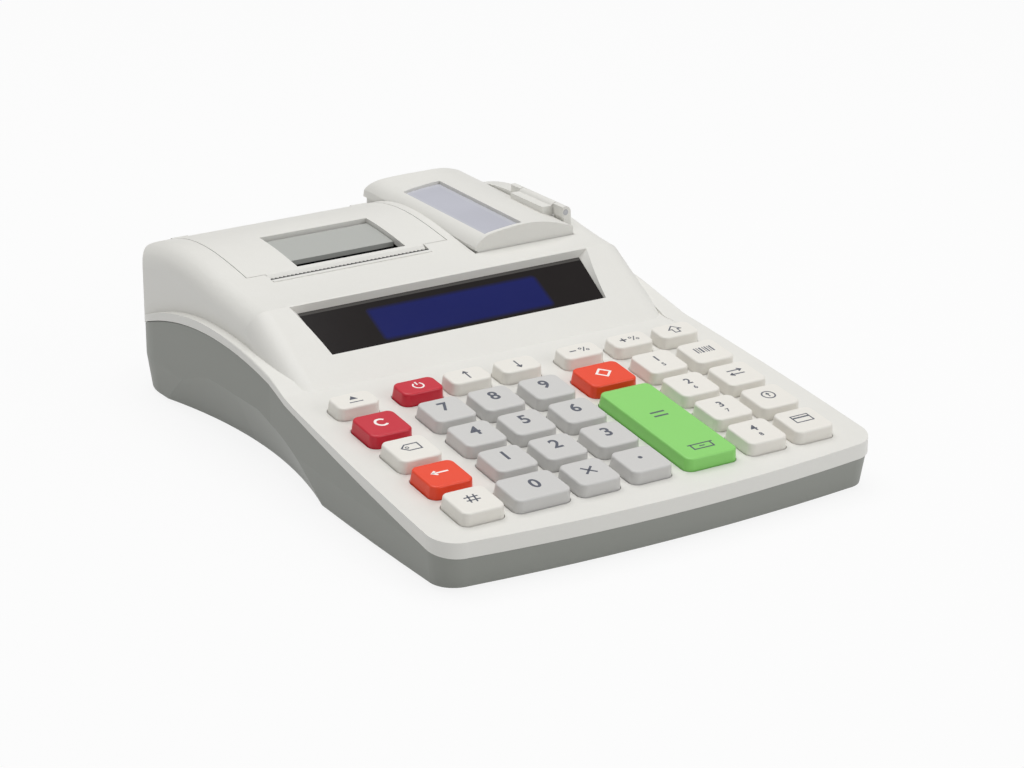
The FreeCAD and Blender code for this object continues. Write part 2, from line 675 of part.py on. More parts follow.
def rectangle(body, name, width, depth, lift):
    """A centred rectangle on the body's own XY plane, its size and height bound to formulas."""
    sketch = body.newObject("Sketcher::SketchObject", name)
    sketch.AttachmentSupport = [(own_plane(body, "XY_Plane"), "")]
    sketch.MapMode = "FlatFace"
    sketch.setExpression("AttachmentOffset.Base.z", lift)
    half_w, half_d = 5.0, 4.0
    corners = [V(-half_w, -half_d), V(half_w, -half_d), V(half_w, half_d), V(-half_w, half_d)]
    for number in range(4):
        sketch.addGeometry(Part.LineSegment(corners[number], corners[(number + 1) % 4]), False)
    for number in range(4):
        sketch.addConstraint(Sketcher.Constraint("Coincident", number, 2, (number + 1) % 4, 1))
    for number, kind in enumerate(("Horizontal", "Vertical", "Horizontal", "Vertical")):
        sketch.addConstraint(Sketcher.Constraint(kind, number))
    sketch.addConstraint(Sketcher.Constraint("Symmetric", 0, 1, 2, 1, -1, 1))
    wide = sketch.addConstraint(Sketcher.Constraint("DistanceX", 0, 1, 0, 2, 2 * half_w))
    deep = sketch.addConstraint(Sketcher.Constraint("DistanceY", 1, 1, 1, 2, 2 * half_d))
    sketch.setExpression("Constraints[%d]" % wide, width)
    sketch.setExpression("Constraints[%d]" % deep, depth)
    return sketch


def padded(body, sketch, name, length, taper=None):
    pad = body.newObject("PartDesign::Pad", name)
    pad.Profile = sketch
    pad.setExpression("Length", length)
    if taper:
        pad.setExpression("TaperAngle", taper)
    sketch.Visibility = False
    return pad


def rounded(body, base, name, radius, chosen):
    """A fillet on the edges of the base feature that the test picks."""
    doc.recompute()
    names = ["Edge%d" % (n + 1) for n, edge in enumerate(base.Shape.Edges) if chosen(edge)]
    fillet = body.newObject("PartDesign::Fillet", name)
    fillet.Base = (base, names)
    fillet.setExpression("Radius", radius)
    return fillet


def make_key(name, x, along, width, depth_formula, depth):
    body = doc.addObject("PartDesign::Body", "key_" + name)
    body.Label = "key_" + name
    flare = "2 * %s * tan(%s * 1 deg)" % (ref("key_rise"), ref("key_flare"))
    wide = "(%s + %s) * 1 mm" % (ref(width), flare)
    deep = "(%s + %s) * 1 mm" % (depth_formula, flare)
    foot = "(%s + %s + %s)" % (ref("deck_wall"), ref("flange_gap"), ref("flange_wall"))
    skirt = rectangle(body, "Skirt", wide, deep, "-%s * 1 mm" % foot)
    skirt_pad = padded(body, skirt, "SkirtPad", "%s * 1 mm" % foot)
    cap = rectangle(body, "Cap", wide, deep, "0 mm")
    cap_pad = padded(body, cap, "CapPad", "%s * 1 mm" % ref("key_rise"), "-%s * 1 deg" % ref("key_flare"))
    upright = rounded(body, cap_pad, "Corners", "%s * 1 mm" % ref("key_corner"),
                      lambda e: abs(e.tangentAt(e.FirstParameter).z) > 0.9)
    top_z = val("key_rise")
    edge = rounded(body, upright, "TopEdge", "%s * 1 mm" % ref("key_edge"),
                   lambda e: all(abs(v.Point.z - top_z) < 0.01 for v in e.Vertexes))
    rim = "2 * %s" % ref("key_flange")
    flange = rectangle(body, "Flange", "(%s + %s + %s) * 1 mm" % (ref(width), flare, rim),
                       "(%s + %s + %s) * 1 mm" % (depth_formula, flare, rim), "-%s * 1 mm" % foot)
    padded(body, flange, "FlangePad", "%s * 1 mm" % ref("flange_wall"))
    thin = "2 * %s" % ref("key_wall")
    room = rectangle(body, "Room", "(%s - %s) * 1 mm" % (ref(width), thin),
                     "(%s - %s) * 1 mm" % (depth_formula, thin), "-%s * 1 mm" % foot)
    doc.recompute()
    solid_volume = body.Shape.Volume
    pocket = body.newObject("PartDesign::Pocket", "RoomPocket")
    pocket.Profile = room
    pocket.Reversed = True
    pocket.setExpression("Length", "(%s + %s - %s) * 1 mm" % (foot, ref("key_rise"), ref("key_wall")))
    doc.recompute()
    if body.Shape.Volume > 0.9 * solid_volume:
        raise RuntimeError("the hollow of key %s cut nothing" % name)
    body.Placement = FreeCAD.Placement(on_deck(x, along), DECK_TURN)
    return body


def make_keys():
    bodies = []
    for name, x, along, width, long in KEYS:
        if name == "total":
            formula = "(2 * %s + %s)" % (ref("row_pitch"), ref("key_d"))
        elif along > val("top_row"):
            formula = ref("key_low_d")
        else:
            formula = ref("key_d")
        bodies.append(make_key(name, x, along, width, formula, long))
    return bodies


def keypad_span():
    """Low and high ends of the key area up the deck."""
    low = -FLARE - val("key_flange")
    high = val("top_row") + val("key_low_d") + FLARE + val("key_flange")
    return low, high


def key_mat():
    low, high = keypad_span()
    mat = deck_block(0, (low + high) / 2, 2 * val("mat_half"), high - low,
                     -MAT_TOP - val("mat_wall"), -MAT_TOP)
    domes = []
    for name, x, along, width, long in KEYS:
        for step in ((-1, 0, 1) if name == "total" else (0,)):
            middle = along + step * val("row_pitch")
            radius = val("dome_small") if along > val("top_row") else val("dome_radius")
            domes.append(bar(radius, val("dome_high") + val("mat_wall") / 2,
                             on_deck(x, middle, -MAT_TOP - val("mat_wall") / 2), OFF_DECK))
    return feature("key_mat", mat.fuse(domes).removeSplitter())


def keypad_board():
    low, high = keypad_span()
    margin = val("keypad_margin")
    board = deck_block(0, (low + high) / 2, 2 * val("keypad_half"), high - low + margin,
                       -MAT_TOP - val("mat_wall") - val("board_wall"), -MAT_TOP - val("mat_wall"))
    return feature("keypad_board", board)


def display_window():
    grow = val("part_gap") / 2 - val("run_fit")
    return feature("display_window", window_slab(grow, -val("window_wall"), 0.0))


def display_module():
    """Liquid crystal panel: a backing block with a raised glass that shows through the ledge."""
    top = -val("window_wall") - val("bezel_wall")
    middle = val("window_high") / 2 - 1
    back = Part.makeBox(val("lcd_w"), val("lcd_high") + 4, val("lcd_wall"))
    start = on_window(val("lcd_x") - val("lcd_w") / 2, middle - val("lcd_high") / 2 - 2, top - val("lcd_wall"))
    back.Placement = FreeCAD.Placement(start, WINDOW_TURN)
    glass = Part.makeBox(val("view_w") + 2, val("view_high"), val("bezel_wall") - val("view_rise") + 1)
    start = on_window(val("lcd_x") - val("view_w") / 2 - 1, middle - val("view_high") / 2, top - 1)
    glass.Placement = FreeCAD.Placement(start, WINDOW_TURN)
    return feature("display_module", back.fuse(glass).removeSplitter())


def gear(teeth, wide, base, phase):
    """A spur gear along X with straight-sided teeth, thinner than half the pitch for backlash."""
    module = val("gear_module")
    pitch_r = module * teeth / 2
    tip_r = pitch_r + 0.8 * module
    root_r = pitch_r - 1.1 * module
    step = 2 * math.pi / teeth
    points = []
    for number in range(teeth):
        middle = phase + number * step
        for radius, share in ((root_r, -0.30), (tip_r, -0.10), (tip_r, 0.10), (root_r, 0.30)):
            angle = middle + share * step
            points.append(V(0, radius * math.cos(angle), radius * math.sin(angle)))
    blank = Part.Face(Part.makePolygon(points + points[:1])).extrude(V(wide, 0, 0))
    blank.translate(base)
    return blank


def drive_centre():
    reach = val("gear_module") * (val("platen_teeth") + val("drive_teeth")) / 2 + val("gear_slack")
    angle = math.radians(val("drive_angle"))
    return val("platen_y") + reach * math.cos(angle), val("platen_z") + reach * math.sin(angle)


def gear_x():
    gap = val("outer_plate_x") - val("frame_right") - val("plate_wall")
    return val("frame_right") + val("plate_wall") + (gap - val("gear_wide")) / 2


def platen_pieces():
    axle = V(1, 0, 0)
    left, right = val("platen_left"), val("platen_right")
    middle = V(0, val("platen_y"), val("platen_z"))
    shaft_left = val("frame_left") - 1
    shaft_right = gear_x() + val("gear_wide")
    rubber = bar(val("platen_radius"), right - left, middle + V(left, 0, 0), axle)
    shaft = bar(val("shaft_radius"), shaft_right - shaft_left, middle + V(shaft_left, 0, 0), axle)
    roller = feature("platen_roller", rubber.fuse(shaft).removeSplitter())
    towards = math.radians(val("drive_angle"))
    blank = gear(int(val("platen_teeth")), val("gear_wide"), middle + V(gear_x(), 0, 0), towards)
    blank = blank.cut(bar(val("shaft_radius"), val("gear_wide"), middle + V(gear_x(), 0, 0), axle))
    wheel = feature("platen_gear", blank)
    return [roller, wheel]


def drive_pieces():
    y, z = drive_centre()
    axle = V(1, 0, 0)
    half_tooth = math.pi / int(val("drive_teeth"))
    towards = math.radians(val("drive_angle")) + math.pi + half_tooth
    blank = gear(int(val("drive_teeth")), val("gear_wide"), V(gear_x(), y, z), towards)
    motor_face = val("outer_plate_x") + val("outer_plate_wall")
    shaft_start = val("frame_right") + val("part_gap")
    shaft = bar(val("shaft_radius"), motor_face - val("part_gap") / 2 - shaft_start, V(shaft_start, y, z), axle)
    wheel = feature("drive_gear", blank.fuse(shaft).removeSplitter())
    can = bar(val("motor_radius"), val("motor_len"), V(motor_face, y, z), axle)
    end = bar(val("motor_radius") / 2, 1.5, V(motor_face + val("motor_len"), y, z), axle)
    motor = feature("printer_motor", can.fuse(end).removeSplitter())
    return [wheel, motor]


def printer_frame():
    """Two side plates, a cross bar under the print head and the outer plate for the motor."""
    floor_z = val("foot_drop") + val("floor_wall")
    left, right = val("frame_left"), val("frame_right")
    wall = val("plate_wall")
    y, z = drive_centre()
    front, rear = val("frame_front"), val("frame_rear")
    frame = block(left, left + wall, front, rear, floor_z, val("frame_top"))
    frame = frame.fuse(block(right, right + wall, front, rear, floor_z, val("frame_top")))
    head_low = val("platen_z") - val("platen_radius") - val("part_gap") - val("head_wall")
    outer = val("outer_plate_x")
    frame = frame.fuse(block(left, right + wall, val("head_front"), val("head_rear"), head_low - wall, head_low))
    frame = frame.fuse(block(left, outer + val("outer_plate_wall"), front, rear, floor_z, floor_z + wall))
    frame = frame.fuse(block(outer, outer + val("outer_plate_wall"), front, y + val("motor_radius"),
                             floor_z, z + val("motor_radius")))
    slot = val("shaft_radius") + val("part_gap")
    for x in (left, right):
        low = val("platen_z")
        frame = frame.cut(block(x, x + wall, val("platen_y") - slot, val("platen_y") + slot, low, SKY))
        frame = frame.cut(bar(slot, wall, V(x, val("platen_y"), low), V(1, 0, 0)))
    pass_through = bar(val("shaft_radius") + val("run_fit"), val("outer_plate_wall"), V(outer, y, z), V(1, 0, 0))
    frame = frame.cut(pass_through)
    frame = frame.cut(bar(val("shaft_radius") + val("run_fit"), wall, V(right, y, z), V(1, 0, 0)))
    return feature("printer_frame", frame.removeSplitter())


def print_head():
    high = val("platen_z") - val("platen_radius") - val("part_gap")
    inset = val("plate_wall") + val("part_gap")
    head = block(val("frame_left") + inset, val("frame_right") - val("part_gap"),
                 val("head_front"), val("head_rear"), high - val("head_wall"), high)
    return feature("print_head", head)


def tear_bar():
    """Serrated blade: a strip with a row of triangular teeth along its back edge."""
    left, right = val("tear_left"), val("tear_right")
    back = val("tear_back")
    count = int((right - left) / val("tooth_pitch"))
    step = (right - left) / count
    low = tear_top() - val("tear_wall")
    points = [V(left, back - val("tear_depth"), low), V(right, back - val("tear_depth"), low), V(right, back, low)]
    for number in range(count):
        start = right - number * step
        points.append(V(start - step / 2, back + val("tooth_long"), low))
        points.append(V(start - step, back, low))
    blade = Part.Face(Part.makePolygon(points + points[:1])).extrude(V(0, 0, val("tear_wall")))
    return feature("tear_bar", blade)


def notch_zone(gap):
    return block(val("notch_left") - gap, val("notch_right") + gap, val("notch_front") - gap,
                 val("notch_rear") + gap, val("frame_top"), SKY)


# Paper cover: a slab of the housing's own top, so the two line up, with its barrels and arms
def paper_cover():
    slab = outer_hood.cut(inner_hood).common(cover_zone(0.0, val("frame_top") - val("wall")))
    ramp_low = V(0, val("tongue_front") - val("part_gap"), tear_top() - val("tongue_drop") + val("tear_wall"))
    ramp_high = V(0, val("cover_front"), val("hood_mid_z"))
    above = prism_x([
        line(ramp_low, ramp_high), line(ramp_high, V(0, ramp_high.y, SKY)),
        line(V(0, ramp_high.y, SKY), V(0, ramp_low.y, SKY)), line(V(0, ramp_low.y, SKY), ramp_low),
    ], SPAN)
    slab = slab.cut(above)
    slab = slab.cut(notch_zone(0.0))
    axis = V(0, val("hinge_y"), val("hinge_z"))
    additions = []
    for x in (val("cover_left"), val("cover_right") - val("knuckle_len")):
        additions.append(bar(val("knuckle"), val("knuckle_len"), axis + V(x, 0, 0), V(1, 0, 0)))
    arm = val("arm_wall")
    for x in (val("platen_left") - val("arm_gap") - arm, val("platen_right") + val("arm_gap")):
        low = val("platen_z")
        half = val("arm_wide") / 2
        plate = block(x, x + arm, val("platen_y") - half, val("platen_y") + half, low, SKY)
        plate = plate.common(inner_hood)
        plate = plate.fuse(bar(half, arm, V(x, val("platen_y"), low), V(1, 0, 0)))
        additions.append(plate)
    for x in (val("notch_left") - val("lever_lug"), val("notch_right")):
        lug = block(x, x + val("lever_lug"), val("lever_pin_y") - val("lever_boss"),
                    val("lever_pin_y") + val("lever_boss"), val("lever_pin_z") - val("lever_boss"), SKY)
        additions.append(lug.common(inner_hood))
    cover = slab.fuse(additions)
    cover = cover.cut(bar(val("hinge_pin") + val("run_fit"), SPAN, axis + V(-SPAN / 2, 0, 0), V(1, 0, 0)))
    cover = cover.cut(bar(val("shaft_radius") + val("run_fit"), SPAN,
                          V(-SPAN / 2, val("platen_y"), val("platen_z")), V(1, 0, 0)))
    cover = cover.cut(bar(val("lever_pin") + val("run_fit"), val("notch_right") - val("notch_left")
                          + 2 * val("lever_lug"), V(val("notch_left") - val("lever_lug"), val("lever_pin_y"),
                                                    val("lever_pin_z")), V(1, 0, 0)))
    return feature("paper_cover", cover.removeSplitter())


def cover_hinge_pin():
    reach = val("part_gap") + val("lug_len")
    start = val("cover_left") - reach
    pin = bar(val("hinge_pin"), val("cover_right") + reach - start, V(start, val("hinge_y"), val("hinge_z")), V(1, 0, 0))
    return feature("cover_hinge_pin", pin)


def release_lever():
    """Curved flap that follows the cover's crown, sunk below it, with a lip to pull and two stub pins."""
    sink = val("lever_sink")
    skin = hood(sink, 0.0).cut(hood(sink + val("lever_wall"), -1.0))
    gap = val("part_gap")
    zone = block(val("notch_left") + gap, val("notch_right") - gap, val("lever_front"),
                 val("lever_rear"), val("frame_top"), SKY)
    flap = skin.common(zone)
    lip_zone = block(val("notch_left") + gap, val("notch_right") - gap, val("lever_front"),
                     val("lever_front") + val("lever_wall"), val("hood_mid_z") - sink - val("lever_lip"), SKY)
    flap = flap.fuse(lip_zone.common(hood(sink, 0.0)))
    axis = V(0, val("lever_pin_y"), val("lever_pin_z"))
    boss = bar(val("lever_boss") - 0.8, val("notch_right") - val("notch_left") - 2 * gap,
               axis + V(val("notch_left") + gap, 0, 0), V(1, 0, 0))
    pin = bar(val("lever_pin"), val("notch_right") - val("notch_left") + val("lever_lug"),
              axis + V(val("notch_left") - val("lever_lug") / 2, 0, 0), V(1, 0, 0))
    return feature("release_lever", flap.fuse([boss, pin]).removeSplitter())


def paper_tray():
    floor_z = val("foot_drop") + val("floor_wall")
    left, right = val("tray_left"), val("tray_right")
    front, rear = val("tray_front"), val("tray_rear")
    wall = val("tray_wall")
    tray = block(left, right, front, rear, floor_z, val("tray_top"))
    radius = (rear - front) / 2 - wall
    middle = (front + rear) / 2
    low = val("tray_floor_z") + radius
    space = bar(radius, right - left - 2 * wall, V(left + wall, middle, low), V(1, 0, 0))
    space = space.fuse(block(left + wall, right - wall, middle - radius, middle + radius, low, SKY))
    return feature("paper_tray", tray.cut(space).removeSplitter())


# Customer display
def pod_section(inset, y, lift, floor_z):
    """Arched cross-section across the display, high on the left and falling to the hinge side."""
    left = val("pod_left") + inset
    right = val("pod_right") - inset
    low = floor_z
    start = V(left, y, val("pod_left_z") - inset / 2 + lift)
    crest = [
        start,
        V(left + 2.6, y, val("pod_left_z") + 2.7 - inset + lift),
        V(val("pod_shoulder_x"), y, val("pod_shoulder_z") - inset + lift),
        V(val("pod_peak_x"), y, val("pod_peak_z") - inset + lift),
        V(right, y, val("pod_right_z") - inset + lift),
    ]
    return Part.Wire([
        line(V(left, y, low), start),
        spline(crest),
        line(crest[-1], V(right, y, low)),
        line(V(right, y, low), V(left, y, low)),
    ])


def pod_form(inset, floor_z):
    """The whole display housing: the arched section carried back, rounded down at its tail."""
    front = val("pod_front") + inset
    rear = val("pod_rear") - inset
    rise = (rear - front) * math.tan(math.radians(val("pod_slope")))
    form = Part.makeLoft([
        pod_section(inset, front, 0.0, floor_z), pod_section(inset, rear, rise, floor_z),
    ], True, True)
    radius = val("pod_round")
    top = val("pod_peak_z") + rise
    slant = math.sqrt(0.5)
    start_y, low = front - radius, floor_z - radius
    crest = [V(0, start_y, top), V(0, rear - radius, top)]
    bend = V(0, rear - radius * (1 - slant), top - radius * (1 - slant))
    end = V(0, rear, top - radius)
    keep_edges = [
        line(crest[0], crest[1]), arc(crest[1], bend, end), line(end, V(0, rear, low)),
        line(V(0, rear, low), V(0, start_y, low)), line(V(0, start_y, low), crest[0]),
    ]
    return form.common(prism_x(keep_edges, SPAN))


def pod_window_top():
    """Height of the window's face at its front end: the arch over the window's outer edge, less the sink."""
    return val("pod_shoulder_z") - val("pod_window_sink") - 0.6


def pod_window_block(grow, low, high):
    wide = val("pod_window_right") - val("pod_window_left") + 2 * grow
    long = val("pod_window_rear") - val("pod_window_front") + 2 * grow
    shape = Part.makeBox(wide, long, high - low)
    turn = FreeCAD.Rotation(V(1, 0, 0), val("pod_slope"))
    start = V(val("pod_window_left") - grow, val("pod_window_front") - grow,
              pod_window_top() + low - grow * math.tan(math.radians(val("pod_slope"))))
    shape.Placement = FreeCAD.Placement(start, turn)
    return shape


def pod_cover():
    split = val("pod_split_z")
    shell = pod_form(0.0, split).cut(pod_form(val("pod_wall"), split - 1))
    frame = pod_window_block(val("pod_wall"), -val("pod_window_wall") - val("pod_wall"), val("pod_barrel"))
    shell = shell.fuse(frame.common(pod_form(0.0, split)))
    shell = shell.cut(pod_window_block(0.0, -val("pod_window_wall"), SKY))
    shell = shell.cut(pod_window_block(-val("pod_window_wall"), -SKY / 4, 0.0))
    middle_y = val("barrel_front") + val("barrel_end") + val("part_gap")
    middle_len = val("barrel_rear") - val("barrel_front") - 2 * val("barrel_end") - 2 * val("part_gap")
    barrel = bar(val("pod_barrel"), middle_len, V(val("pod_hinge_x"), middle_y, val("pod_hinge_z")), V(0, 1, 0))
    leaf = block(val("pod_right") - 2 * val("pod_barrel"), val("pod_hinge_x"), middle_y, middle_y + middle_len,
                 val("pod_hinge_z") - val("pod_barrel"), val("pod_hinge_z") + val("pod_barrel") / 2)
    leaf = leaf.cut(pod_form(val("pod_wall"), split - 1))
    for low_y in (val("barrel_front"), val("barrel_rear") - val("barrel_end")):
        shell = shell.cut(bar(val("pod_barrel") + val("part_gap"), val("barrel_end") + val("part_gap"),
                              V(val("pod_hinge_x"), low_y, val("pod_hinge_z")), V(0, 1, 0)))
    shell = shell.fuse([barrel, leaf])
    shell = shell.cut(bar(val("pod_pin") + val("run_fit"), middle_len,
                          V(val("pod_hinge_x"), middle_y, val("pod_hinge_z")), V(0, 1, 0)))
    return feature("pod_cover", shell.removeSplitter())


def pod_base():
    """Flat-bottomed tray that closes the customer display from below."""
    floor_z, split = val("pod_floor_z"), val("pod_split_z")
    wall = val("pod_wall")
    left = val("pod_left") + val("pod_swing")
    outside = block(left, val("pod_right"), val("pod_front"), val("pod_rear"), floor_z, split)
    upright = [e for e in outside.Edges
               if abs(e.tangentAt(e.FirstParameter).z) > 0.9 and e.Vertexes[0].Point.y > 0.5 * val("pod_rear")]
    outside = outside.makeFillet(wall, upright)
    inside = block(left + wall, val("pod_right") - wall, val("pod_front") + wall,
                   val("pod_rear") - wall, floor_z + wall, SKY)
    return feature("pod_base", outside.cut(inside))


def pod_window():
    return feature("pod_window", pod_window_block(-val("run_fit"), -val("pod_window_wall"), 0.0))


def pod_display():
    """Small display panel that stands on the pod's floor, right under its window's ledge."""
    top = -val("pod_window_wall") - val("pod_wall") - val("part_gap") / 2
    panel = pod_window_block(-val("pod_wall"), top - val("board_wall"), top)
    low = val("pod_floor_z") + val("pod_wall")
    middle_y = (val("pod_window_front") + val("pod_window_rear")) / 2
    for y in (val("pod_window_front") + 6, middle_y, val("pod_window_rear") - 6):
        middle_x = (val("pod_window_left") + val("pod_window_right")) / 2
        panel = panel.fuse(block(middle_x - 2, middle_x + 2, y - 2, y + 2, low, pod_window_top() + top - 0.5))
    return feature("pod_display", panel.removeSplitter())


def pod_hinge_pin():
    pin = bar(val("pod_pin"), val("barrel_rear") - val("barrel_front"),
              V(val("pod_hinge_x"), val("barrel_front"), val("pod_hinge_z")), V(0, 1, 0))
    return feature("pod_hinge_pin", pin)


def main_board():
    """Circuit board with its chips and a row of connectors, on the tray's posts."""
    half, low = val("board_half"), val("board_z")
    top = low + val("board_wall")
    board = block(-half, half, val("board_front"), val("board_rear"), low, top)
    chip = val("chip_high")
    pieces = [
        block(-12, 8, -20, 0, top, top + chip), block(-40, -28, -10, 4, top, top + chip),
        block(20, 30, -30, -16, top, top + chip), block(-20, 20, 30, 35, top, top + 2 * chip),
        block(34, 46, 8, 24, top, top + 2 * chip),
    ]
    return feature("main_board", board.fuse(pieces).removeSplitter())


def plain_pieces():
    """Battery, feet and screws, bound to the sheet."""
    floor_z = "(%s + %s)" % (ref("foot_drop"), ref("floor_wall"))
    battery = box("battery_pack", (
        "(%s - %s) * 1 mm" % (ref("battery_right"), ref("battery_left")),
        "(%s - %s) * 1 mm" % (ref("battery_rear"), ref("battery_front")),
        "%s * 1 mm" % ref("battery_high"),
    ), ("%s * 1 mm" % ref("battery_left"), "%s * 1 mm" % ref("battery_front"), floor_z + " * 1 mm"))
    feet = []
    for number, (x_sign, where) in enumerate(((-1, "foot_front_y"), (1, "foot_front_y"),
                                              (-1, "foot_rear_y"), (1, "foot_rear_y"))):
        feet.append(rod("Foot%d" % number, "%s * 1 mm" % ref("foot_radius"),
                        "(%s + %s) * 1 mm" % (ref("foot_drop"), ref("foot_recess")),
                        ("%d * %s * 1 mm" % (x_sign, ref("foot_x")), "%s * 1 mm" % ref(where), "0 mm")))
    screws = []
    for number, (x_sign, where) in enumerate(((-1, "screw_front"), (1, "screw_front"),
                                              (-1, "screw_rear"), (1, "screw_rear"))):
        place_x = "%d * %s * 1 mm" % (x_sign, ref(where + "_x"))
        place_y = "%s * 1 mm" % ref(where + "_y")
        seat = "(%s + %s + %s)" % (ref("foot_drop"), ref("floor_wall"), ref("screw_head_high"))
        head = rod("ScrewHead%d" % number, "%s * 1 mm" % ref("screw_head"),
                   "%s * 1 mm" % ref("screw_head_high"),
                   (place_x, place_y, "(%s - %s) * 1 mm" % (seat, ref("screw_head_high"))))
        stem = rod("ScrewStem%d" % number, "%s * 1 mm" % ref("screw_radius"),
                   "(%s - %s) * 1 mm" % (ref("screw_len"), ref("screw_head_high")),
                   (place_x, place_y, "%s * 1 mm" % seat))
        screws.append(joined("Screw%d" % number, [head, stem]))
    return [battery, grouped("rubber_feet", feet), grouped("case_screws", screws)]


nodes = [lower_case(), upper_case(), display_window(), display_module(), key_mat(), keypad_board()]
nodes += make_keys()
nodes += [paper_cover(), cover_hinge_pin(), release_lever(), tear_bar(), paper_tray(), printer_frame(), print_head()]
nodes += platen_pieces()
nodes += drive_pieces()
nodes += [pod_cover(), pod_base(), pod_window(), pod_display(), pod_hinge_pin()]
nodes += [main_board(), rear_sockets()]
nodes += plain_pieces()
doc.recompute()

for item in doc.Objects:
    if "Invalid" in item.State or "Error" in item.State:
        raise RuntimeError("failed object: " + item.Label)
for node in nodes:
    if node.Shape.isNull() or not node.Shape.isValid():
        raise RuntimeError("bad shape: " + node.Label)
for node in nodes:
    node.Shape.exportStep("parts/%s.step" % node.Label)
    size = node.Shape.BoundBox
    print("%-18s %2d solids %10.1f mm3  x %.1f %.1f  y %.1f %.1f  z %.1f %.1f" % (
        node.Label, len(node.Shape.Solids), node.Shape.Volume,
        size.XMin, size.XMax, size.YMin, size.YMax, size.ZMin, size.ZMax))
print(len(nodes), "nodes")
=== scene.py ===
# %% [markdown]
# # A ticket register, dressed for its portrait
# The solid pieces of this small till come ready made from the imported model. Here they get their
# finishes. Prints on the keys, small parts in the sockets, bands along the rim and three reworked
# pieces join them, and then a camera, soft light and a pale floor. Blender's sizes are in metres,
# in the frame of the solids: +Z is up, and the operator stands at -Y.

import math

import bmesh
import bpy
import numpy as np
from mathutils import Matrix, Vector


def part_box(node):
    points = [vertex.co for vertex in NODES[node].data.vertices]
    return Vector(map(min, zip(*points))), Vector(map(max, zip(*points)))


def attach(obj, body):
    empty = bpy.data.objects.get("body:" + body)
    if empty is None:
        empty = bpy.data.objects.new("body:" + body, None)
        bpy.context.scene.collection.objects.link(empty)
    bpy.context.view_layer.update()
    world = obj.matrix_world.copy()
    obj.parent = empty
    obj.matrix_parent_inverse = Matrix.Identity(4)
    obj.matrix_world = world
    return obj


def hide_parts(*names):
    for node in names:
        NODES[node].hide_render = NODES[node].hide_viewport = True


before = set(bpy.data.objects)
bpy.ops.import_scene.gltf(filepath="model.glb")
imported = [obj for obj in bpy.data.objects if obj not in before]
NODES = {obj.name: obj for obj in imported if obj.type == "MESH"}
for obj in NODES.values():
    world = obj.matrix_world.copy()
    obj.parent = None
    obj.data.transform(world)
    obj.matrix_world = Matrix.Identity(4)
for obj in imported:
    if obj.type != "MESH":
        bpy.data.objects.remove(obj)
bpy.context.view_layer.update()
MM = 0.001


# %% [markdown]
# ## Colours
# A photograph's colours are display values. Blender's shaders want linear ones, so each colour is
# written as it would be picked from a picture and is converted once.

# %% Display colour to linear colour
def linear(red, green, blue):
    """A colour of 0..255 in linear light. Each channel c becomes ((c/255 + 0.055) / 1.055) ** 2.4,
    or c/255/12.92 when it is very dark."""
    share = np.array([red, green, blue]) / 255
    mixed = np.where(share <= 0.04045, share / 12.92, ((share + 0.055) / 1.055) ** 2.4)
    return (*[float(c) for c in mixed], 1.0)


# %% [markdown]
# ## Shader groups
# Several finishes share an effect. Each effect is a node group that is built once, with named
# sockets, and is then placed in every material that needs it with that material's own values.

# %% Helpers for building node trees
def make_group(name, inputs, outputs):
    """An empty shader group. Its inputs are (kind, socket name, default) and its outputs are
    (kind, socket name)."""
    group = bpy.data.node_groups.new(name, "ShaderNodeTree")
    for kind, socket, default in inputs:
        item = group.interface.new_socket(name=socket, in_out="INPUT", socket_type="NodeSocket" + kind)
        if default is not None:
            item.default_value = default
    for kind, socket in outputs:
        group.interface.new_socket(name=socket, in_out="OUTPUT", socket_type="NodeSocket" + kind)
    return group, group.nodes.new("NodeGroupInput"), group.nodes.new("NodeGroupOutput")


def feed(tree, target, operand):
    """Links a node's input to a socket, or gives it a plain value. None leaves the input alone."""
    if isinstance(operand, bpy.types.NodeSocket):
        tree.links.new(operand, target)
    elif operand is not None:
        target.default_value = operand


def math_node(tree, operation, first, second=None, clamp=False):
    """A Math node. Each operand is a socket or a number, and the node's output socket comes back."""
    node = tree.nodes.new("ShaderNodeMath")
    node.operation = operation
    node.use_clamp = clamp
    feed(tree, node.inputs[0], first)
    feed(tree, node.inputs[1], second)
    return node.outputs[0]


def vector_node(tree, operation, first, second=None, result="Vector"):
    """A Vector Math node. Each operand is a socket or a tuple, and the named output comes back."""
    node = tree.nodes.new("ShaderNodeVectorMath")
    node.operation = operation
    feed(tree, node.inputs[0], first)
    feed(tree, node.inputs[1], second)
    return node.outputs[result]


def coordinate(tree, vector, axis):
    """One coordinate of a vector socket, as a socket."""
    apart = tree.nodes.new("ShaderNodeSeparateXYZ")
    tree.links.new(vector, apart.inputs[0])
    return apart.outputs[axis]


def mix_colour(tree, share, first, second):
    """A colour mix: share 0 gives first, share 1 gives second."""
    node = tree.nodes.new("ShaderNodeMix")
    node.data_type = "RGBA"
    feed(tree, node.inputs["Factor"], share)
    feed(tree, node.inputs[6], first)
    feed(tree, node.inputs[7], second)
    return node.outputs[2]


def noise(tree, vector, scale, detail=2.0, rough=0.5):
    """Noise at so many bumps per metre, as a value around 0.5."""
    node = tree.nodes.new("ShaderNodeTexNoise")
    node.inputs["Scale"].default_value = scale
    node.inputs["Detail"].default_value = detail
    node.inputs["Roughness"].default_value = rough
    tree.links.new(vector, node.inputs["Vector"])
    return node.outputs["Fac"]


# %% [markdown]
# ### Moulded plastic
# Housings and keys are injection moulded in a steel tool with an etched skin. That leaves a grain
# of about a third of a millimetre. Under it lie slow changes of tone, from flow in the tool and
# from years of light and hands. The group gives all three, and the grain leaves it as a height.

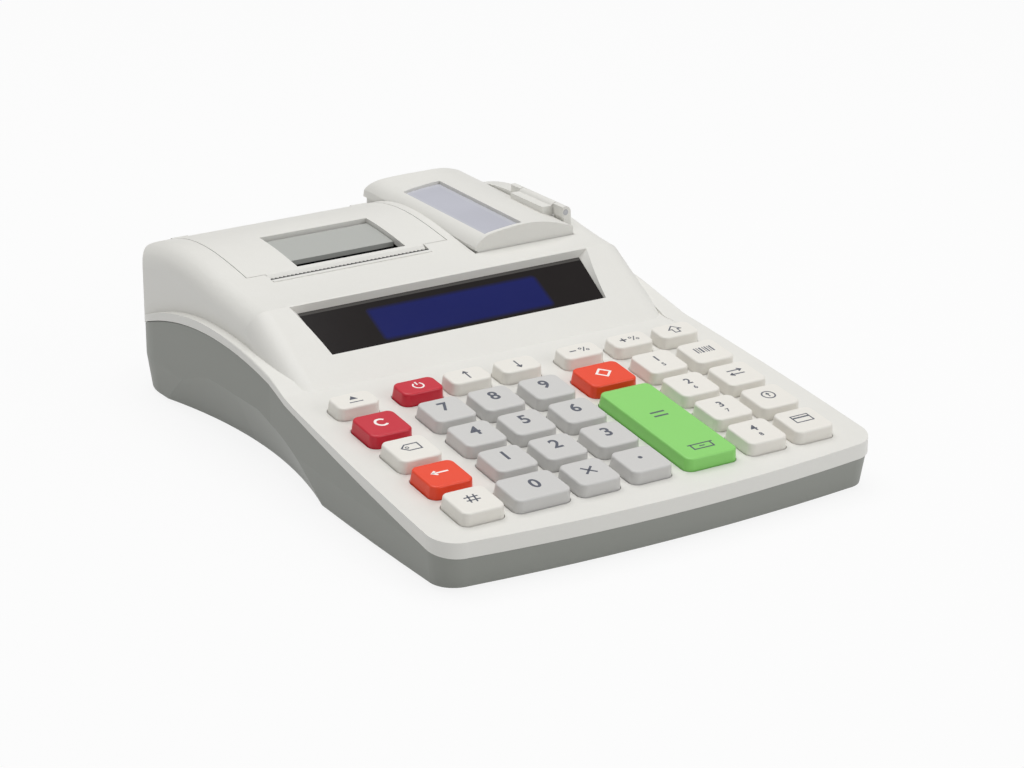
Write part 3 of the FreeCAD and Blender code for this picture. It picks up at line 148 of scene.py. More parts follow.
# %% Group: moulded skin
moulded_skin, skin_in, skin_out = make_group(
    "Moulded skin",
    [("Vector", "Vector", None), ("Color", "Colour", (0.8, 0.8, 0.8, 1)),
     ("Float", "Mottle", 0.04), ("Float", "Grain scale", 3000.0), ("Float", "Roughness", 0.5),
     ("Float", "Polish", 0.08)],
    [("Color", "Colour"), ("Float", "Roughness"), ("Float", "Height")],
)
grain = moulded_skin.nodes.new("ShaderNodeTexVoronoi")
grain.feature = "SMOOTH_F1"
moulded_skin.links.new(skin_in.outputs["Vector"], grain.inputs["Vector"])
moulded_skin.links.new(skin_in.outputs["Grain scale"], grain.inputs["Scale"])
slow = noise(moulded_skin, skin_in.outputs["Vector"], 22.0, 3.0)
fine = noise(moulded_skin, skin_in.outputs["Vector"], 900.0, 2.0)
swing = math_node(moulded_skin, "SUBTRACT", slow, 0.5)
tone = math_node(moulded_skin, "MULTIPLY", swing, skin_in.outputs["Mottle"])
speck = math_node(moulded_skin, "MULTIPLY", math_node(moulded_skin, "SUBTRACT", fine, 0.5), 0.02)
value = math_node(moulded_skin, "ADD", math_node(moulded_skin, "ADD", tone, speck), 1.0)
shade = moulded_skin.nodes.new("ShaderNodeVectorMath")
shade.operation = "SCALE"
moulded_skin.links.new(skin_in.outputs["Colour"], shade.inputs[0])
moulded_skin.links.new(value, shade.inputs["Scale"])
moulded_skin.links.new(shade.outputs[0], skin_out.inputs["Colour"])
polish = math_node(moulded_skin, "MULTIPLY", swing, skin_in.outputs["Polish"])
moulded_skin.links.new(
    math_node(moulded_skin, "ADD", skin_in.outputs["Roughness"], polish, clamp=True),
    skin_out.inputs["Roughness"])
moulded_skin.links.new(grain.outputs["Distance"], skin_out.inputs["Height"])

# %% [markdown]
# ### Settled dust
# Dust lies on faces that look up, and gathers in patches. A face's own normal says how far it
# looks up, and that holds in every view because it has nothing to do with the camera.

# %% Group: settled dust
settled_dust, dust_in, dust_out = make_group(
    "Settled dust",
    [("Vector", "Vector", None), ("Color", "Colour", (0.5, 0.5, 0.5, 1)),
     ("Float", "Roughness", 0.5), ("Float", "Amount", 0.1),
     ("Color", "Dust colour", linear(196, 190, 178))],
    [("Color", "Colour"), ("Float", "Roughness")],
)
facing = settled_dust.nodes.new("ShaderNodeNewGeometry")
upward = coordinate(settled_dust, facing.outputs["Normal"], "Z")
patches = noise(settled_dust, dust_in.outputs["Vector"], 140.0, 4.0, 0.65)
level = math_node(settled_dust, "MAXIMUM", upward, 0.0)
lying = math_node(settled_dust, "MULTIPLY", level, patches)
film = math_node(settled_dust, "MULTIPLY", lying, dust_in.outputs["Amount"], clamp=True)
settled_dust.links.new(
    mix_colour(settled_dust, film, dust_in.outputs["Colour"], dust_in.outputs["Dust colour"]),
    dust_out.inputs["Colour"])
dulled = math_node(settled_dust, "MULTIPLY", film, 0.4)
settled_dust.links.new(
    math_node(settled_dust, "ADD", dust_in.outputs["Roughness"], dulled, clamp=True),
    dust_out.inputs["Roughness"])

# %% [markdown]
# ### Drawn metal
# Pins, blades and motor cans are drawn or rolled, which leaves fine lines along one direction. The
# lines are noise on coordinates that were squeezed across that direction.

# %% Group: drawn metal
drawn_metal, metal_in, metal_out = make_group(
    "Drawn metal",
    [("Vector", "Vector", None), ("Color", "Colour", (0.6, 0.6, 0.6, 1)),
     ("Vector", "Squeeze", (20.0, 2500.0, 2500.0)), ("Float", "Roughness", 0.3)],
    [("Color", "Colour"), ("Float", "Roughness"), ("Float", "Height")],
)
squeezed = vector_node(
    drawn_metal, "MULTIPLY", metal_in.outputs["Vector"], metal_in.outputs["Squeeze"])
lines = noise(drawn_metal, squeezed, 1.0, 3.0, 0.6)
stain = noise(drawn_metal, metal_in.outputs["Vector"], 160.0, 3.0)
STAIN_COLOUR = (0.16, 0.15, 0.14, 1)
stained = math_node(drawn_metal, "MULTIPLY", stain, 0.35)
drawn_metal.links.new(
    mix_colour(drawn_metal, stained, metal_in.outputs["Colour"], STAIN_COLOUR),
    metal_out.inputs["Colour"])
scored = math_node(drawn_metal, "MULTIPLY", lines, 0.2)
drawn_metal.links.new(
    math_node(drawn_metal, "ADD", metal_in.outputs["Roughness"], scored, clamp=True),
    metal_out.inputs["Roughness"])
drawn_metal.links.new(lines, metal_out.inputs["Height"])

# %% [markdown]
# ### A rounded rectangle as a mask
# Display glass is printed on its back, with a clear rectangle left open over the panel. The mask
# is the signed distance to a rectangle with round corners: the length of max(|p| - half + corner, 0)
# less the corner radius. It is 1 inside and falls to 0 over the soft edge.

# %% Group: printed frame
printed_frame, print_in, print_out = make_group(
    "Printed frame",
    [("Vector", "Vector", None), ("Vector", "Half size", (0.03, 0.007, 1.0)),
     ("Float", "Corner", 0.001), ("Float", "Soft edge", 0.0004)],
    [("Float", "Inside")],
)
flat = vector_node(printed_frame, "MULTIPLY", print_in.outputs["Vector"], (1, 1, 0))
folded = vector_node(printed_frame, "ABSOLUTE", flat)
beyond = vector_node(printed_frame, "SUBTRACT", folded, print_in.outputs["Half size"])
rounded = vector_node(printed_frame, "ADD", beyond, print_in.outputs["Corner"])
positive = vector_node(printed_frame, "MAXIMUM", rounded, (0, 0, 0))
length = vector_node(printed_frame, "LENGTH", positive, result="Value")
distance = math_node(printed_frame, "SUBTRACT", length, print_in.outputs["Corner"])
faded = math_node(printed_frame, "DIVIDE", distance, print_in.outputs["Soft edge"])
printed_frame.links.new(
    math_node(printed_frame, "SUBTRACT", 0.5, faded, clamp=True), print_out.inputs["Inside"])
print("shader groups:", sorted(g.name for g in bpy.data.node_groups))


# %% [markdown]
# ## Materials
# Each material starts the same way: a Principled BSDF, Object coordinates and a Bump node. Plain
# numbers that are the same all over a surface, such as the specular level, go straight onto the
# shader's own sockets.

# %% The start of every material
def new_material(name, **plain):
    """A node material. Plain values such as Metallic=1.0 are set on the shader's own sockets."""
    material = bpy.data.materials.new(name)
    material.use_nodes = True
    tree = material.node_tree
    shader = tree.nodes["Principled BSDF"]
    for socket, number in plain.items():
        shader.inputs[socket.replace("_", " ")].default_value = number
    place = tree.nodes.new("ShaderNodeTexCoord").outputs["Object"]
    return material, tree, shader, place


def put_group(tree, group, **values):
    """Places a group. A value is a number, colour or vector for the socket, or a socket to link."""
    node = tree.nodes.new("ShaderNodeGroup")
    node.node_tree = group
    for socket, operand in values.items():
        feed(tree, node.inputs[socket.replace("_", " ")], operand)
    return node


def paint(tree, shader, source):
    """Gives the shader the colour and the roughness that a placed group puts out."""
    tree.links.new(source.outputs["Colour"], shader.inputs["Base Color"])
    tree.links.new(source.outputs["Roughness"], shader.inputs["Roughness"])


def bump(tree, shader, height, strength, depth):
    """Feeds a height into the shader's normal, depth metres deep."""
    node = tree.nodes.new("ShaderNodeBump")
    node.inputs["Strength"].default_value = strength
    node.inputs["Distance"].default_value = depth
    tree.links.new(height, node.inputs["Height"])
    tree.links.new(node.outputs["Normal"], shader.inputs["Normal"])


# %% Moulded plastics and rubbers
def moulded(name, colour, roughness, grain_scale, grain_depth, mottle=0.05, dust=0.1):
    """Moulded plastic or rubber: etched grain, slow mottling and a little dust on what faces up."""
    material, tree, shader, place = new_material(name)
    skin = put_group(tree, moulded_skin, Vector=place, Colour=colour, Mottle=mottle,
                     Grain_scale=grain_scale, Roughness=roughness)
    dusty = put_group(tree, settled_dust, Vector=place, Colour=skin.outputs["Colour"],
                      Roughness=skin.outputs["Roughness"], Amount=dust)
    paint(tree, shader, dusty)
    bump(tree, shader, skin.outputs["Height"], 0.5, grain_depth)
    return material


def key_plastic(name, colour, roughness, mottle=0.05, dust=0.04):
    """The finely etched plastic of the keys, which fingers keep cleaner than the housing."""
    return moulded(name, colour, roughness, 4200.0, 0.00001, mottle, dust)


def printing_ink(name, colour, roughness, mottle):
    """Printing ink, with hardly any grain and no dust."""
    return moulded(name, colour, roughness, 6000.0, 0.000004, mottle, dust=0.0)


SHELL = linear(226, 225, 220)
FINISH = {
    "shell": moulded("Pale housing plastic", SHELL, 0.42, 2600.0, 0.00002),
    "tray": moulded("Grey tray plastic", linear(144, 146, 140), 0.5, 2300.0, 0.00003, mottle=0.06),
    "lever": moulded("Grey lever plastic", linear(174, 176, 172), 0.34, 3400.0, 0.00001),
    "grey_key": key_plastic("Grey key plastic", linear(205, 204, 202), 0.36, 0.03, 0.05),
    "white_key": key_plastic("White key plastic", linear(233, 230, 223), 0.36, 0.03, 0.05),
    "red_key": key_plastic("Red key plastic", linear(200, 24, 48), 0.3),
    "orange_key": key_plastic("Orange key plastic", linear(236, 66, 28), 0.3),
    "green_key": key_plastic("Green key plastic", linear(138, 212, 108), 0.34),
    "rubber": moulded("Dark rubber", linear(42, 42, 43), 0.72, 1800.0, 0.00004, dust=0.12),
    "mat": moulded("Grey silicone mat", linear(150, 150, 148), 0.55, 1500.0, 0.00002, dust=0.05),
    "frame": moulded("Black printer frame plastic", linear(44, 44, 46), 0.42, 2200.0, 0.00002),
    "gear": moulded("White gear plastic", linear(226, 224, 214), 0.32, 5200.0, 0.00001, dust=0.03),
    "socket": moulded("Black socket plastic", linear(26, 26, 27), 0.4, 3000.0, 0.00001, dust=0.08),
    "ink_dark": printing_ink("Slate ink", linear(84, 88, 100), 0.5, 0.12),
    "ink_white": printing_ink("White ink", linear(244, 240, 236), 0.45, 0.05),
}


# %% Metals
def metal(name, colour, roughness, squeeze):
    """Drawn or rolled metal whose lines run along the direction with the small squeeze factor."""
    material, tree, shader, place = new_material(name, Metallic=1.0)
    drawn = put_group(tree, drawn_metal, Vector=place, Colour=colour, Squeeze=squeeze,
                      Roughness=roughness)
    paint(tree, shader, drawn)
    bump(tree, shader, drawn.outputs["Height"], 0.4, 0.000004)
    return material


STEEL = linear(190, 191, 194)
FINISH["steel_x"] = metal("Drawn steel across", STEEL, 0.22, (30.0, 2600.0, 2600.0))
FINISH["steel_y"] = metal("Drawn steel lengthways", STEEL, 0.22, (2600.0, 30.0, 2600.0))
FINISH["screw"] = metal("Zinc plated screw", linear(186, 184, 170), 0.28, (1200.0, 1200.0, 60.0))
FINISH["motor"] = metal("Motor can", linear(160, 160, 162), 0.34, (60.0, 1500.0, 1500.0))

# %% [markdown]
# ### Tear blade
# The blade's strip is clad in the housing's pale plastic and only its teeth are bare and dark. The
# teeth start where the strip ends, at one distance along Y, so that distance is the mask.

# %% Tear blade
TEETH_START = 44.2 * MM
blade, blade_tree, blade_shader, blade_place = new_material("Clad tear blade")
blade_skin = put_group(blade_tree, moulded_skin, Vector=blade_place, Colour=SHELL, Mottle=0.05,
                       Roughness=0.42)
bare = math_node(blade_tree, "GREATER_THAN", coordinate(blade_tree, blade_place, "Y"), TEETH_START)
blade_tree.links.new(
    mix_colour(blade_tree, bare, blade_skin.outputs["Colour"], linear(44, 42, 42)),
    blade_shader.inputs["Base Color"])
blade_tree.links.new(blade_skin.outputs["Roughness"], blade_shader.inputs["Roughness"])
bump(blade_tree, blade_shader, blade_skin.outputs["Height"], 0.4, 0.00002)
FINISH["blade"] = blade

# %% [markdown]
# ### Display glass
# The window over the operator's display is smoked plastic. From outside it is nearly black, with
# the switched-off panel as a deep blue rectangle in it, and a paler strip is painted along its top
# edge as a reflection. The pattern lies in the window's own plane, so a Mapping node turns the
# Object coordinates by the window's slope before the printed frame reads them.

# %% Operator's window
WINDOW_SLOPE = math.radians(26.5)
WINDOW_LOW = Vector((0.0, 5.1, 35.35)) * MM
PANEL_MIDDLE = (1.2 * MM, 9.4 * MM)
PANEL_HALF = (32.2 * MM, 7.0 * MM, 1.0)
# The paler strip along the window's top edge is a painted reflection. It starts this far up the plane
PAINTED_REFLECTION_START = 19.3 * MM
# A strip that starts a metre up the plane never shows.
NO_STRIP = 1.0


def slope_place(tree, place, start, slope, middle):
    """Coordinates in a sloping plane: p' = turn(-slope about X)(p - start) - middle."""
    moved = tree.nodes.new("ShaderNodeMapping")
    moved.vector_type = "POINT"
    moved.inputs["Location"].default_value = [-c for c in start]
    tree.links.new(place, moved.inputs["Vector"])
    turned = tree.nodes.new("ShaderNodeMapping")
    turned.vector_type = "POINT"
    turned.inputs["Rotation"].default_value = (-slope, 0, 0)
    turned.inputs["Location"].default_value = (-middle[0], -middle[1], 0)
    tree.links.new(moved.outputs["Vector"], turned.inputs["Vector"])
    return turned.outputs["Vector"]


def display_glass(name, colours, slope_at, panel_half, strip_above, roughness, edge=0.0009,
                  shine=0.06):
    """Printed display glass in three colours: the ground, a panel rectangle, and a strip above a
    height in the plane, which is a painted reflection wherever it shows. The shine is the specular
    level, kept low because the real glass has a coating against glare."""
    ground, panel, strip = [linear(*colour) for colour in colours]
    material, tree, shader, place = new_material(name, Specular_IOR_Level=shine)
    plane = slope_place(tree, place, *slope_at)
    inside = put_group(tree, printed_frame, Vector=plane, Half_size=panel_half, Corner=0.0012,
                       Soft_edge=edge)
    clouds = math_node(tree, "MULTIPLY", noise(tree, plane, 35.0, 2.0), 0.5)
    darker = tuple(c * 0.62 for c in panel[:3]) + (1.0,)
    panel_tone = mix_colour(tree, clouds, panel, darker)
    coloured = mix_colour(tree, inside.outputs["Inside"], ground, panel_tone)
    # Above strip_above the glass takes the strip colour, a painted reflection
    past = math_node(tree, "SUBTRACT", coordinate(tree, plane, "Y"), strip_above)
    above = math_node(tree, "DIVIDE", past, 0.0003, clamp=True)
    coloured = mix_colour(tree, above, coloured, strip)
    dusty = put_group(tree, settled_dust, Vector=place, Colour=coloured, Roughness=roughness,
                      Amount=0.008)
    paint(tree, shader, dusty)
    ripple = noise(tree, place, 60.0, 1.0)
    bump(tree, shader, ripple, 0.15, 0.00002)
    return material


# The third colour is the pale strip along the top edge, a painted reflection
FINISH["window"] = display_glass(
    "Smoked display window", [(34, 31, 31), (30, 36, 96), (84, 82, 80)],
    (WINDOW_LOW, WINDOW_SLOPE, PANEL_MIDDLE), PANEL_HALF, PAINTED_REFLECTION_START - PANEL_MIDDLE[1], 0.14,
    edge=0.0018)

# %% Customer's window
pod_low, pod_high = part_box("pod_window")
POD_SLOPE = math.radians(1.2)
POD_PANEL_HALF = (6.2 * MM, 25.4 * MM, 1.0)
pod_middle = ((pod_high.x - pod_low.x) / 2, (pod_high.y - pod_low.y) / 2)
FINISH["pod_window"] = display_glass(
    "Tinted customer window", [(198, 199, 205), (194, 195, 206), (198, 199, 205)],
    (pod_low, POD_SLOPE, pod_middle), POD_PANEL_HALF, NO_STRIP, 0.16, edge=0.003, shine=0.3)
FINISH["panel"] = display_glass(
    "Blue display panel", [(52, 54, 58), (30, 38, 104), (60, 62, 66)],
    (WINDOW_LOW, WINDOW_SLOPE, PANEL_MIDDLE), PANEL_HALF, NO_STRIP, 0.2)
print("display finishes made")

# %% [markdown]
# ### Circuit boards and the battery
# Boards are green lacquer over copper tracks, with tinned dots and black chips standing on them.
# The tracks come from a brick pattern that runs both ways, and whatever stands above the board's
# face is black. The battery's wrap is shrink film drawn over round cells, so it gets a soft wave.

# %% Circuit board and battery wrap
def circuit_board(name, chips_above):
    """Green lacquer with tracks, and black above the height chips_above."""
    material, tree, shader, place = new_material(name, Coat_Weight=0.3, Coat_Roughness=0.2)
    brick = tree.nodes.new("ShaderNodeTexBrick")
    brick.inputs["Color1"].default_value = linear(22, 88, 52)
    brick.inputs["Color2"].default_value = linear(18, 76, 46)
    brick.inputs["Mortar"].default_value = linear(58, 138, 84)
    brick.inputs["Scale"].default_value = 210.0
    brick.inputs["Mortar Size"].default_value = 0.045
    brick.inputs["Brick Width"].default_value = 1.9
    tree.links.new(place, brick.inputs["Vector"])
    dots = tree.nodes.new("ShaderNodeTexVoronoi")
    dots.inputs["Scale"].default_value = 260.0
    tree.links.new(place, dots.inputs["Vector"])
    tinned = math_node(tree, "LESS_THAN", dots.outputs["Distance"], 0.16)
    coloured = mix_colour(tree, tinned, brick.outputs["Color"], linear(188, 186, 176))
    chip = math_node(tree, "GREATER_THAN", coordinate(tree, place, "Z"), chips_above)
    coloured = mix_colour(tree, chip, coloured, linear(34, 34, 36))
    dusty = put_group(tree, settled_dust, Vector=place, Colour=coloured, Roughness=0.34, Amount=0.1)
    paint(tree, shader, dusty)
    bump(tree, shader, brick.outputs["Fac"], 0.3, 0.00003)
    return material


# The board is 1.6 mm thick, and the mask lies just over it. The keypad's board has no chips.
BOARD_FACE = 1.65 * MM
NO_CHIPS = 1.0
board_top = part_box("main_board")[0].z + BOARD_FACE
FINISH["main_board"] = circuit_board("Main circuit board", board_top)
FINISH["key_board"] = circuit_board("Keypad circuit board", NO_CHIPS)

wrap, wrap_tree, wrap_shader, wrap_place = new_material(
    "Blue battery wrap", Coat_Weight=0.6, Coat_Roughness=0.12)
cells = wrap_tree.nodes.new("ShaderNodeTexWave")
cells.bands_direction = "Y"
cells.inputs["Scale"].default_value = 15.0
cells.inputs["Distortion"].default_value = 0.3
wrap_tree.links.new(wrap_place, cells.inputs["Vector"])
creases = noise(wrap_tree, wrap_place, 260.0, 4.0)
wrap_skin = put_group(wrap_tree, moulded_skin, Vector=wrap_place, Colour=linear(36, 78, 150),
                      Mottle=0.2, Grain_scale=900.0, Roughness=0.28)
paint(wrap_tree, wrap_shader, wrap_skin)
creased = math_node(wrap_tree, "MULTIPLY", creases, 0.2)
swell = math_node(wrap_tree, "ADD", cells.outputs["Fac"], creased)
bump(wrap_tree, wrap_shader, swell, 0.6, 0.0012)
FINISH["wrap"] = wrap
print("finishes:", len(FINISH))

# %% [markdown]
# ## Dress the solids
# Every solid gets one finish. The keys are looked up by their names: digits, multiply and point are
# grey, clear and on are red, lookup and subtotal are orange red, the big total key is green and the
# rest are white.

# %% Which finish goes on which solid
GREY_KEYS = {
    "zero", "one", "two", "three", "four", "five", "six", "seven", "eight", "nine", "multiply", "point",
}
COLOURED_KEYS = {
    "on": "red_key", "clear": "red_key", "subtotal": "orange_key", "lookup": "orange_key",
    "total": "green_key",
}
PLAIN_NODES = {
    "upper_case": "shell", "lower_case": "tray", "paper_cover": "shell", "pod_cover": "shell",
    "pod_base": "shell", "release_lever": "lever", "display_window": "window",
    "display_module": "panel", "pod_window": "pod_window", "pod_display": "panel",
    "key_mat": "mat", "keypad_board": "key_board", "main_board": "main_board",
    "rubber_feet": "rubber", "case_screws": "screw", "cover_hinge_pin": "steel_x",
    "pod_hinge_pin": "steel_y", "tear_bar": "blade", "printer_frame": "frame",
    "print_head": "motor", "platen_roller": "rubber", "platen_gear": "gear",
    "drive_gear": "gear", "printer_motor": "motor", "paper_tray": "frame",
    "battery_pack": "wrap", "rear_sockets": "socket",
}


def finish_of(node):
    """The finish for a solid, by its name."""
    if node in PLAIN_NODES:
        return PLAIN_NODES[node]
    word = node[len("key_"):]
    if word in COLOURED_KEYS:
        return COLOURED_KEYS[word]
    return "grey_key" if word in GREY_KEYS else "white_key"


for node, solid in NODES.items():
    solid.data.materials.clear()
    solid.data.materials.append(FINISH[finish_of(node)])
print("dressed", len(NODES), "solids")

# %% [markdown]
# ## Meshes and objects
# What follows adds pieces to the solids, and each is a mesh on an object. The first helper here
# serves the camera and the lamps too.

# %% Helpers for meshes and objects
def put_object(name, data):
    """A new object in the scene that shows this mesh, text, lamp or camera."""
    placed = bpy.data.objects.new(name, data)
    bpy.context.scene.collection.objects.link(placed)
    return placed


def vertices_of(mesh):
    """A mesh's vertices as rows of x, y, z."""
    points = np.empty(len(mesh.vertices) * 3)
    mesh.vertices.foreach_get("co", points)
    return points.reshape(-1, 3)


# %% [markdown]
# ## A deeper notch for the finger
# A fingertip reaches under the grey lever from the front, so the cover's notch runs forward almost
# to its sloping lip. The cover is a copy of its solid with that bit taken out by a Boolean. It is
# quicker than drawing the cover again, and everything else on it stays exactly where it was.

# %% Cutting a copy of a solid
WELD = 0.001 * MM
SMOOTH_UP_TO = math.radians(30)


def box_mesh(name, low, high):
    """The eight corners and six faces of a box between two corners."""
    corners = [
        (x, y, z) for z in (low.z, high.z) for y in (low.y, high.y) for x in (low.x, high.x)
    ]
    sides = [(0, 2, 3, 1), (4, 5, 7, 6), (0, 1, 5, 4), (2, 6, 7, 3), (0, 4, 6, 2), (1, 3, 7, 5)]
    mesh = bpy.data.meshes.new(name)
    mesh.from_pydata(corners, [], sides)
    return mesh


def cut_copy(name, solid, low, high, finish):
    """A merged, smooth copy of a solid without what lies in the box from low to high."""
    merged = bmesh.new()
    merged.from_mesh(solid.data)
    bmesh.ops.remove_doubles(merged, verts=merged.verts, dist=WELD)
    source = bpy.data.meshes.new(name + "_whole")
    merged.to_mesh(source)
    merged.free()
    whole = put_object(name + "_whole", source)
    cutter = put_object(name + "_cutter", box_mesh(name + "_cutter", low, high))
    cut = whole.modifiers.new("Cut", "BOOLEAN")
    cut.operation = "DIFFERENCE"
    cut.solver = "EXACT"
    cut.object = cutter
    bpy.context.view_layer.update()
    result = whole.evaluated_get(bpy.context.evaluated_depsgraph_get()).to_mesh()
    faces = [list(f.vertices) for f in result.polygons]
    mesh = bpy.data.meshes.new(name)
    mesh.from_pydata(vertices_of(result).tolist(), [], faces)
    mesh.polygons.foreach_set("use_smooth", [True] * len(faces))
    mesh.set_sharp_from_angle(angle=SMOOTH_UP_TO)
    mesh.materials.append(FINISH[finish])
    for helper in (whole, cutter):
        store = helper.data
        bpy.data.objects.remove(helper)
        bpy.data.meshes.remove(store)
    return put_object(name, mesh)


# %% Cut the notch
NOTCH_LOW = Vector((-39.59, 49.7, 44.0)) * MM
NOTCH_HIGH = Vector((1.59, 53.2, 60.0)) * MM
cover_shell = cut_copy("cover_shell", NODES["paper_cover"], NOTCH_LOW, NOTCH_HIGH, "shell")
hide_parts("paper_cover")
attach(cover_shell, "paper_cover")

# %% Thin the lever's front edge, so that the finger goes in under it
LIP_LOW = Vector((-45.0, 56.0, 40.0)) * MM
LIP_HIGH = Vector((7.0, 60.5, 48.7)) * MM
lever_flap = cut_copy("lever_flap", NODES["release_lever"], LIP_LOW, LIP_HIGH, "lever")
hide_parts("release_lever")
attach(lever_flap, "release_lever")
print("cover and lever faces:", len(cover_shell.data.polygons), len(lever_flap.data.polygons))


# %% [markdown]
# ## Prints on the keys
# Key tops are pad printed: a thin, flat film of ink. Each print is made in the plane of its key's
# top from a few kinds of mark: ribbons along a line, filled shapes and digits from Blender's own
# typeface. All marks are plain digits, arrows and signs.

# %% Marks as flat points and faces
# How much a digit's outline is thickened, as a share of its typeface's size
DIGIT_WEIGHT = 0.022


def ribbon(points, width, closed=False):
    """A band of the given width along a line. Each point moves width/2 both ways along the unit
    sum of its neighbouring segments' normals, lengthened by 1/cos of half the bend, up to 2.5."""
    p = np.array(points, float)
    ahead = np.roll(p, -1, axis=0) - p
    if not closed:
        ahead[-1] = ahead[-2]
    ahead /= np.linalg.norm(ahead, axis=1)[:, None]
    behind = np.roll(ahead, 1, axis=0)
    if not closed:
        behind[0] = ahead[0]
    normal = lambda d: np.stack([-d[:, 1], d[:, 0]], axis=1)
    across = normal(ahead) + normal(behind)
    across /= np.linalg.norm(across, axis=1)[:, None]
    stretch = 1 / np.clip(np.sum(across * normal(ahead), axis=1), 0.4, 1)
    side = across * (stretch * width / 2)[:, None]
    n = len(p)
    i = np.arange(n if closed else n - 1)
    j = (i + 1) % n
    return np.concatenate([p - side, p + side]), np.stack([i, j, j + n, i + n], axis=1).tolist()


def patch(points):
    """A filled shape with these corners, counted anticlockwise."""
    return np.array(points, float), [list(range(len(points)))]


def round_patch(x, y, radius, count=24):
    """A filled disc: (x + r cos a, y + r sin a)."""
    a = np.arange(count) * 2 * math.pi / count
    return patch(np.stack([x + radius * np.cos(a), y + radius * np.sin(a)], axis=1))


def bow(x, y, radius, first, last, width, count=20):
    """A ribbon along a circle's arc, with angles in degrees."""
    a = np.radians(np.linspace(first, last, count))
    return ribbon(np.stack([x + radius * np.cos(a), y + radius * np.sin(a)], axis=1), width)


def glyph(text, tall, x, y):
    """A digit from Blender's typeface, scaled so that it is tall high, with its middle at (x, y)."""
    curve = bpy.data.curves.new("glyph", "FONT")
    curve.body = text
    curve.offset = DIGIT_WEIGHT
    curve.resolution_u = 4
    holder = put_object("glyph", curve)
    bpy.context.view_layer.update()
    mesh = bpy.data.meshes.new_from_object(holder)
    points = vertices_of(mesh)[:, :2]
    faces = [list(f.vertices) for f in mesh.polygons]
    bpy.data.objects.remove(holder)
    bpy.data.curves.remove(curve)
    bpy.data.meshes.remove(mesh)
    low, high = points.min(axis=0), points.max(axis=0)
    return (points - (low + high) / 2) * (tall / (high[1] - low[1])) + (x, y), faces


# %% [markdown]
# Each key's list of marks is in millimetres on its top, with (0, 0) in the middle and +y up the
# deck. Digits stand a little above the middle, as on most keypads.

# %% The marks of each key
def digit(text, x=0.0, y=1.5, tall=5.2):
    """One digit, tall millimetres high."""
    return [glyph(text, tall, x, y)]


def arrow(x, y, long, angle, width=0.55, head=1.5):
    """A plain arrow of three ribbons, pointing along angle in degrees."""
    a = math.radians(angle)
    tip = np.array([x + math.cos(a) * long / 2, y + math.sin(a) * long / 2])
    tail = 2 * np.array([x, y]) - tip
    barbs = [tip - head * np.array([math.cos(a + s), math.sin(a + s)]) for s in (0.65, -0.65)]
    return [ribbon([tail, tip], width), ribbon([barbs[0], tip, barbs[1]], width)]


def percent(x, y, tall=2.6, width=0.4):
    """A slash between two small rings."""
    h = tall / 2
    return [ribbon([(x - 0.6 * h, y - h), (x + 0.6 * h, y + h)], width),
            bow(x - 0.85 * h, y + 0.55 * h, 0.36 * h, 0, 360, width * 0.8),
            bow(x + 0.85 * h, y - 0.55 * h, 0.36 * h, 0, 360, width * 0.8)]


def digit_pair(upper, lower):
    """A digit over a smaller one."""
    return [*digit(upper, 0, 1.9, 3.4), *digit(lower, 0, -2.4, 2.0)]


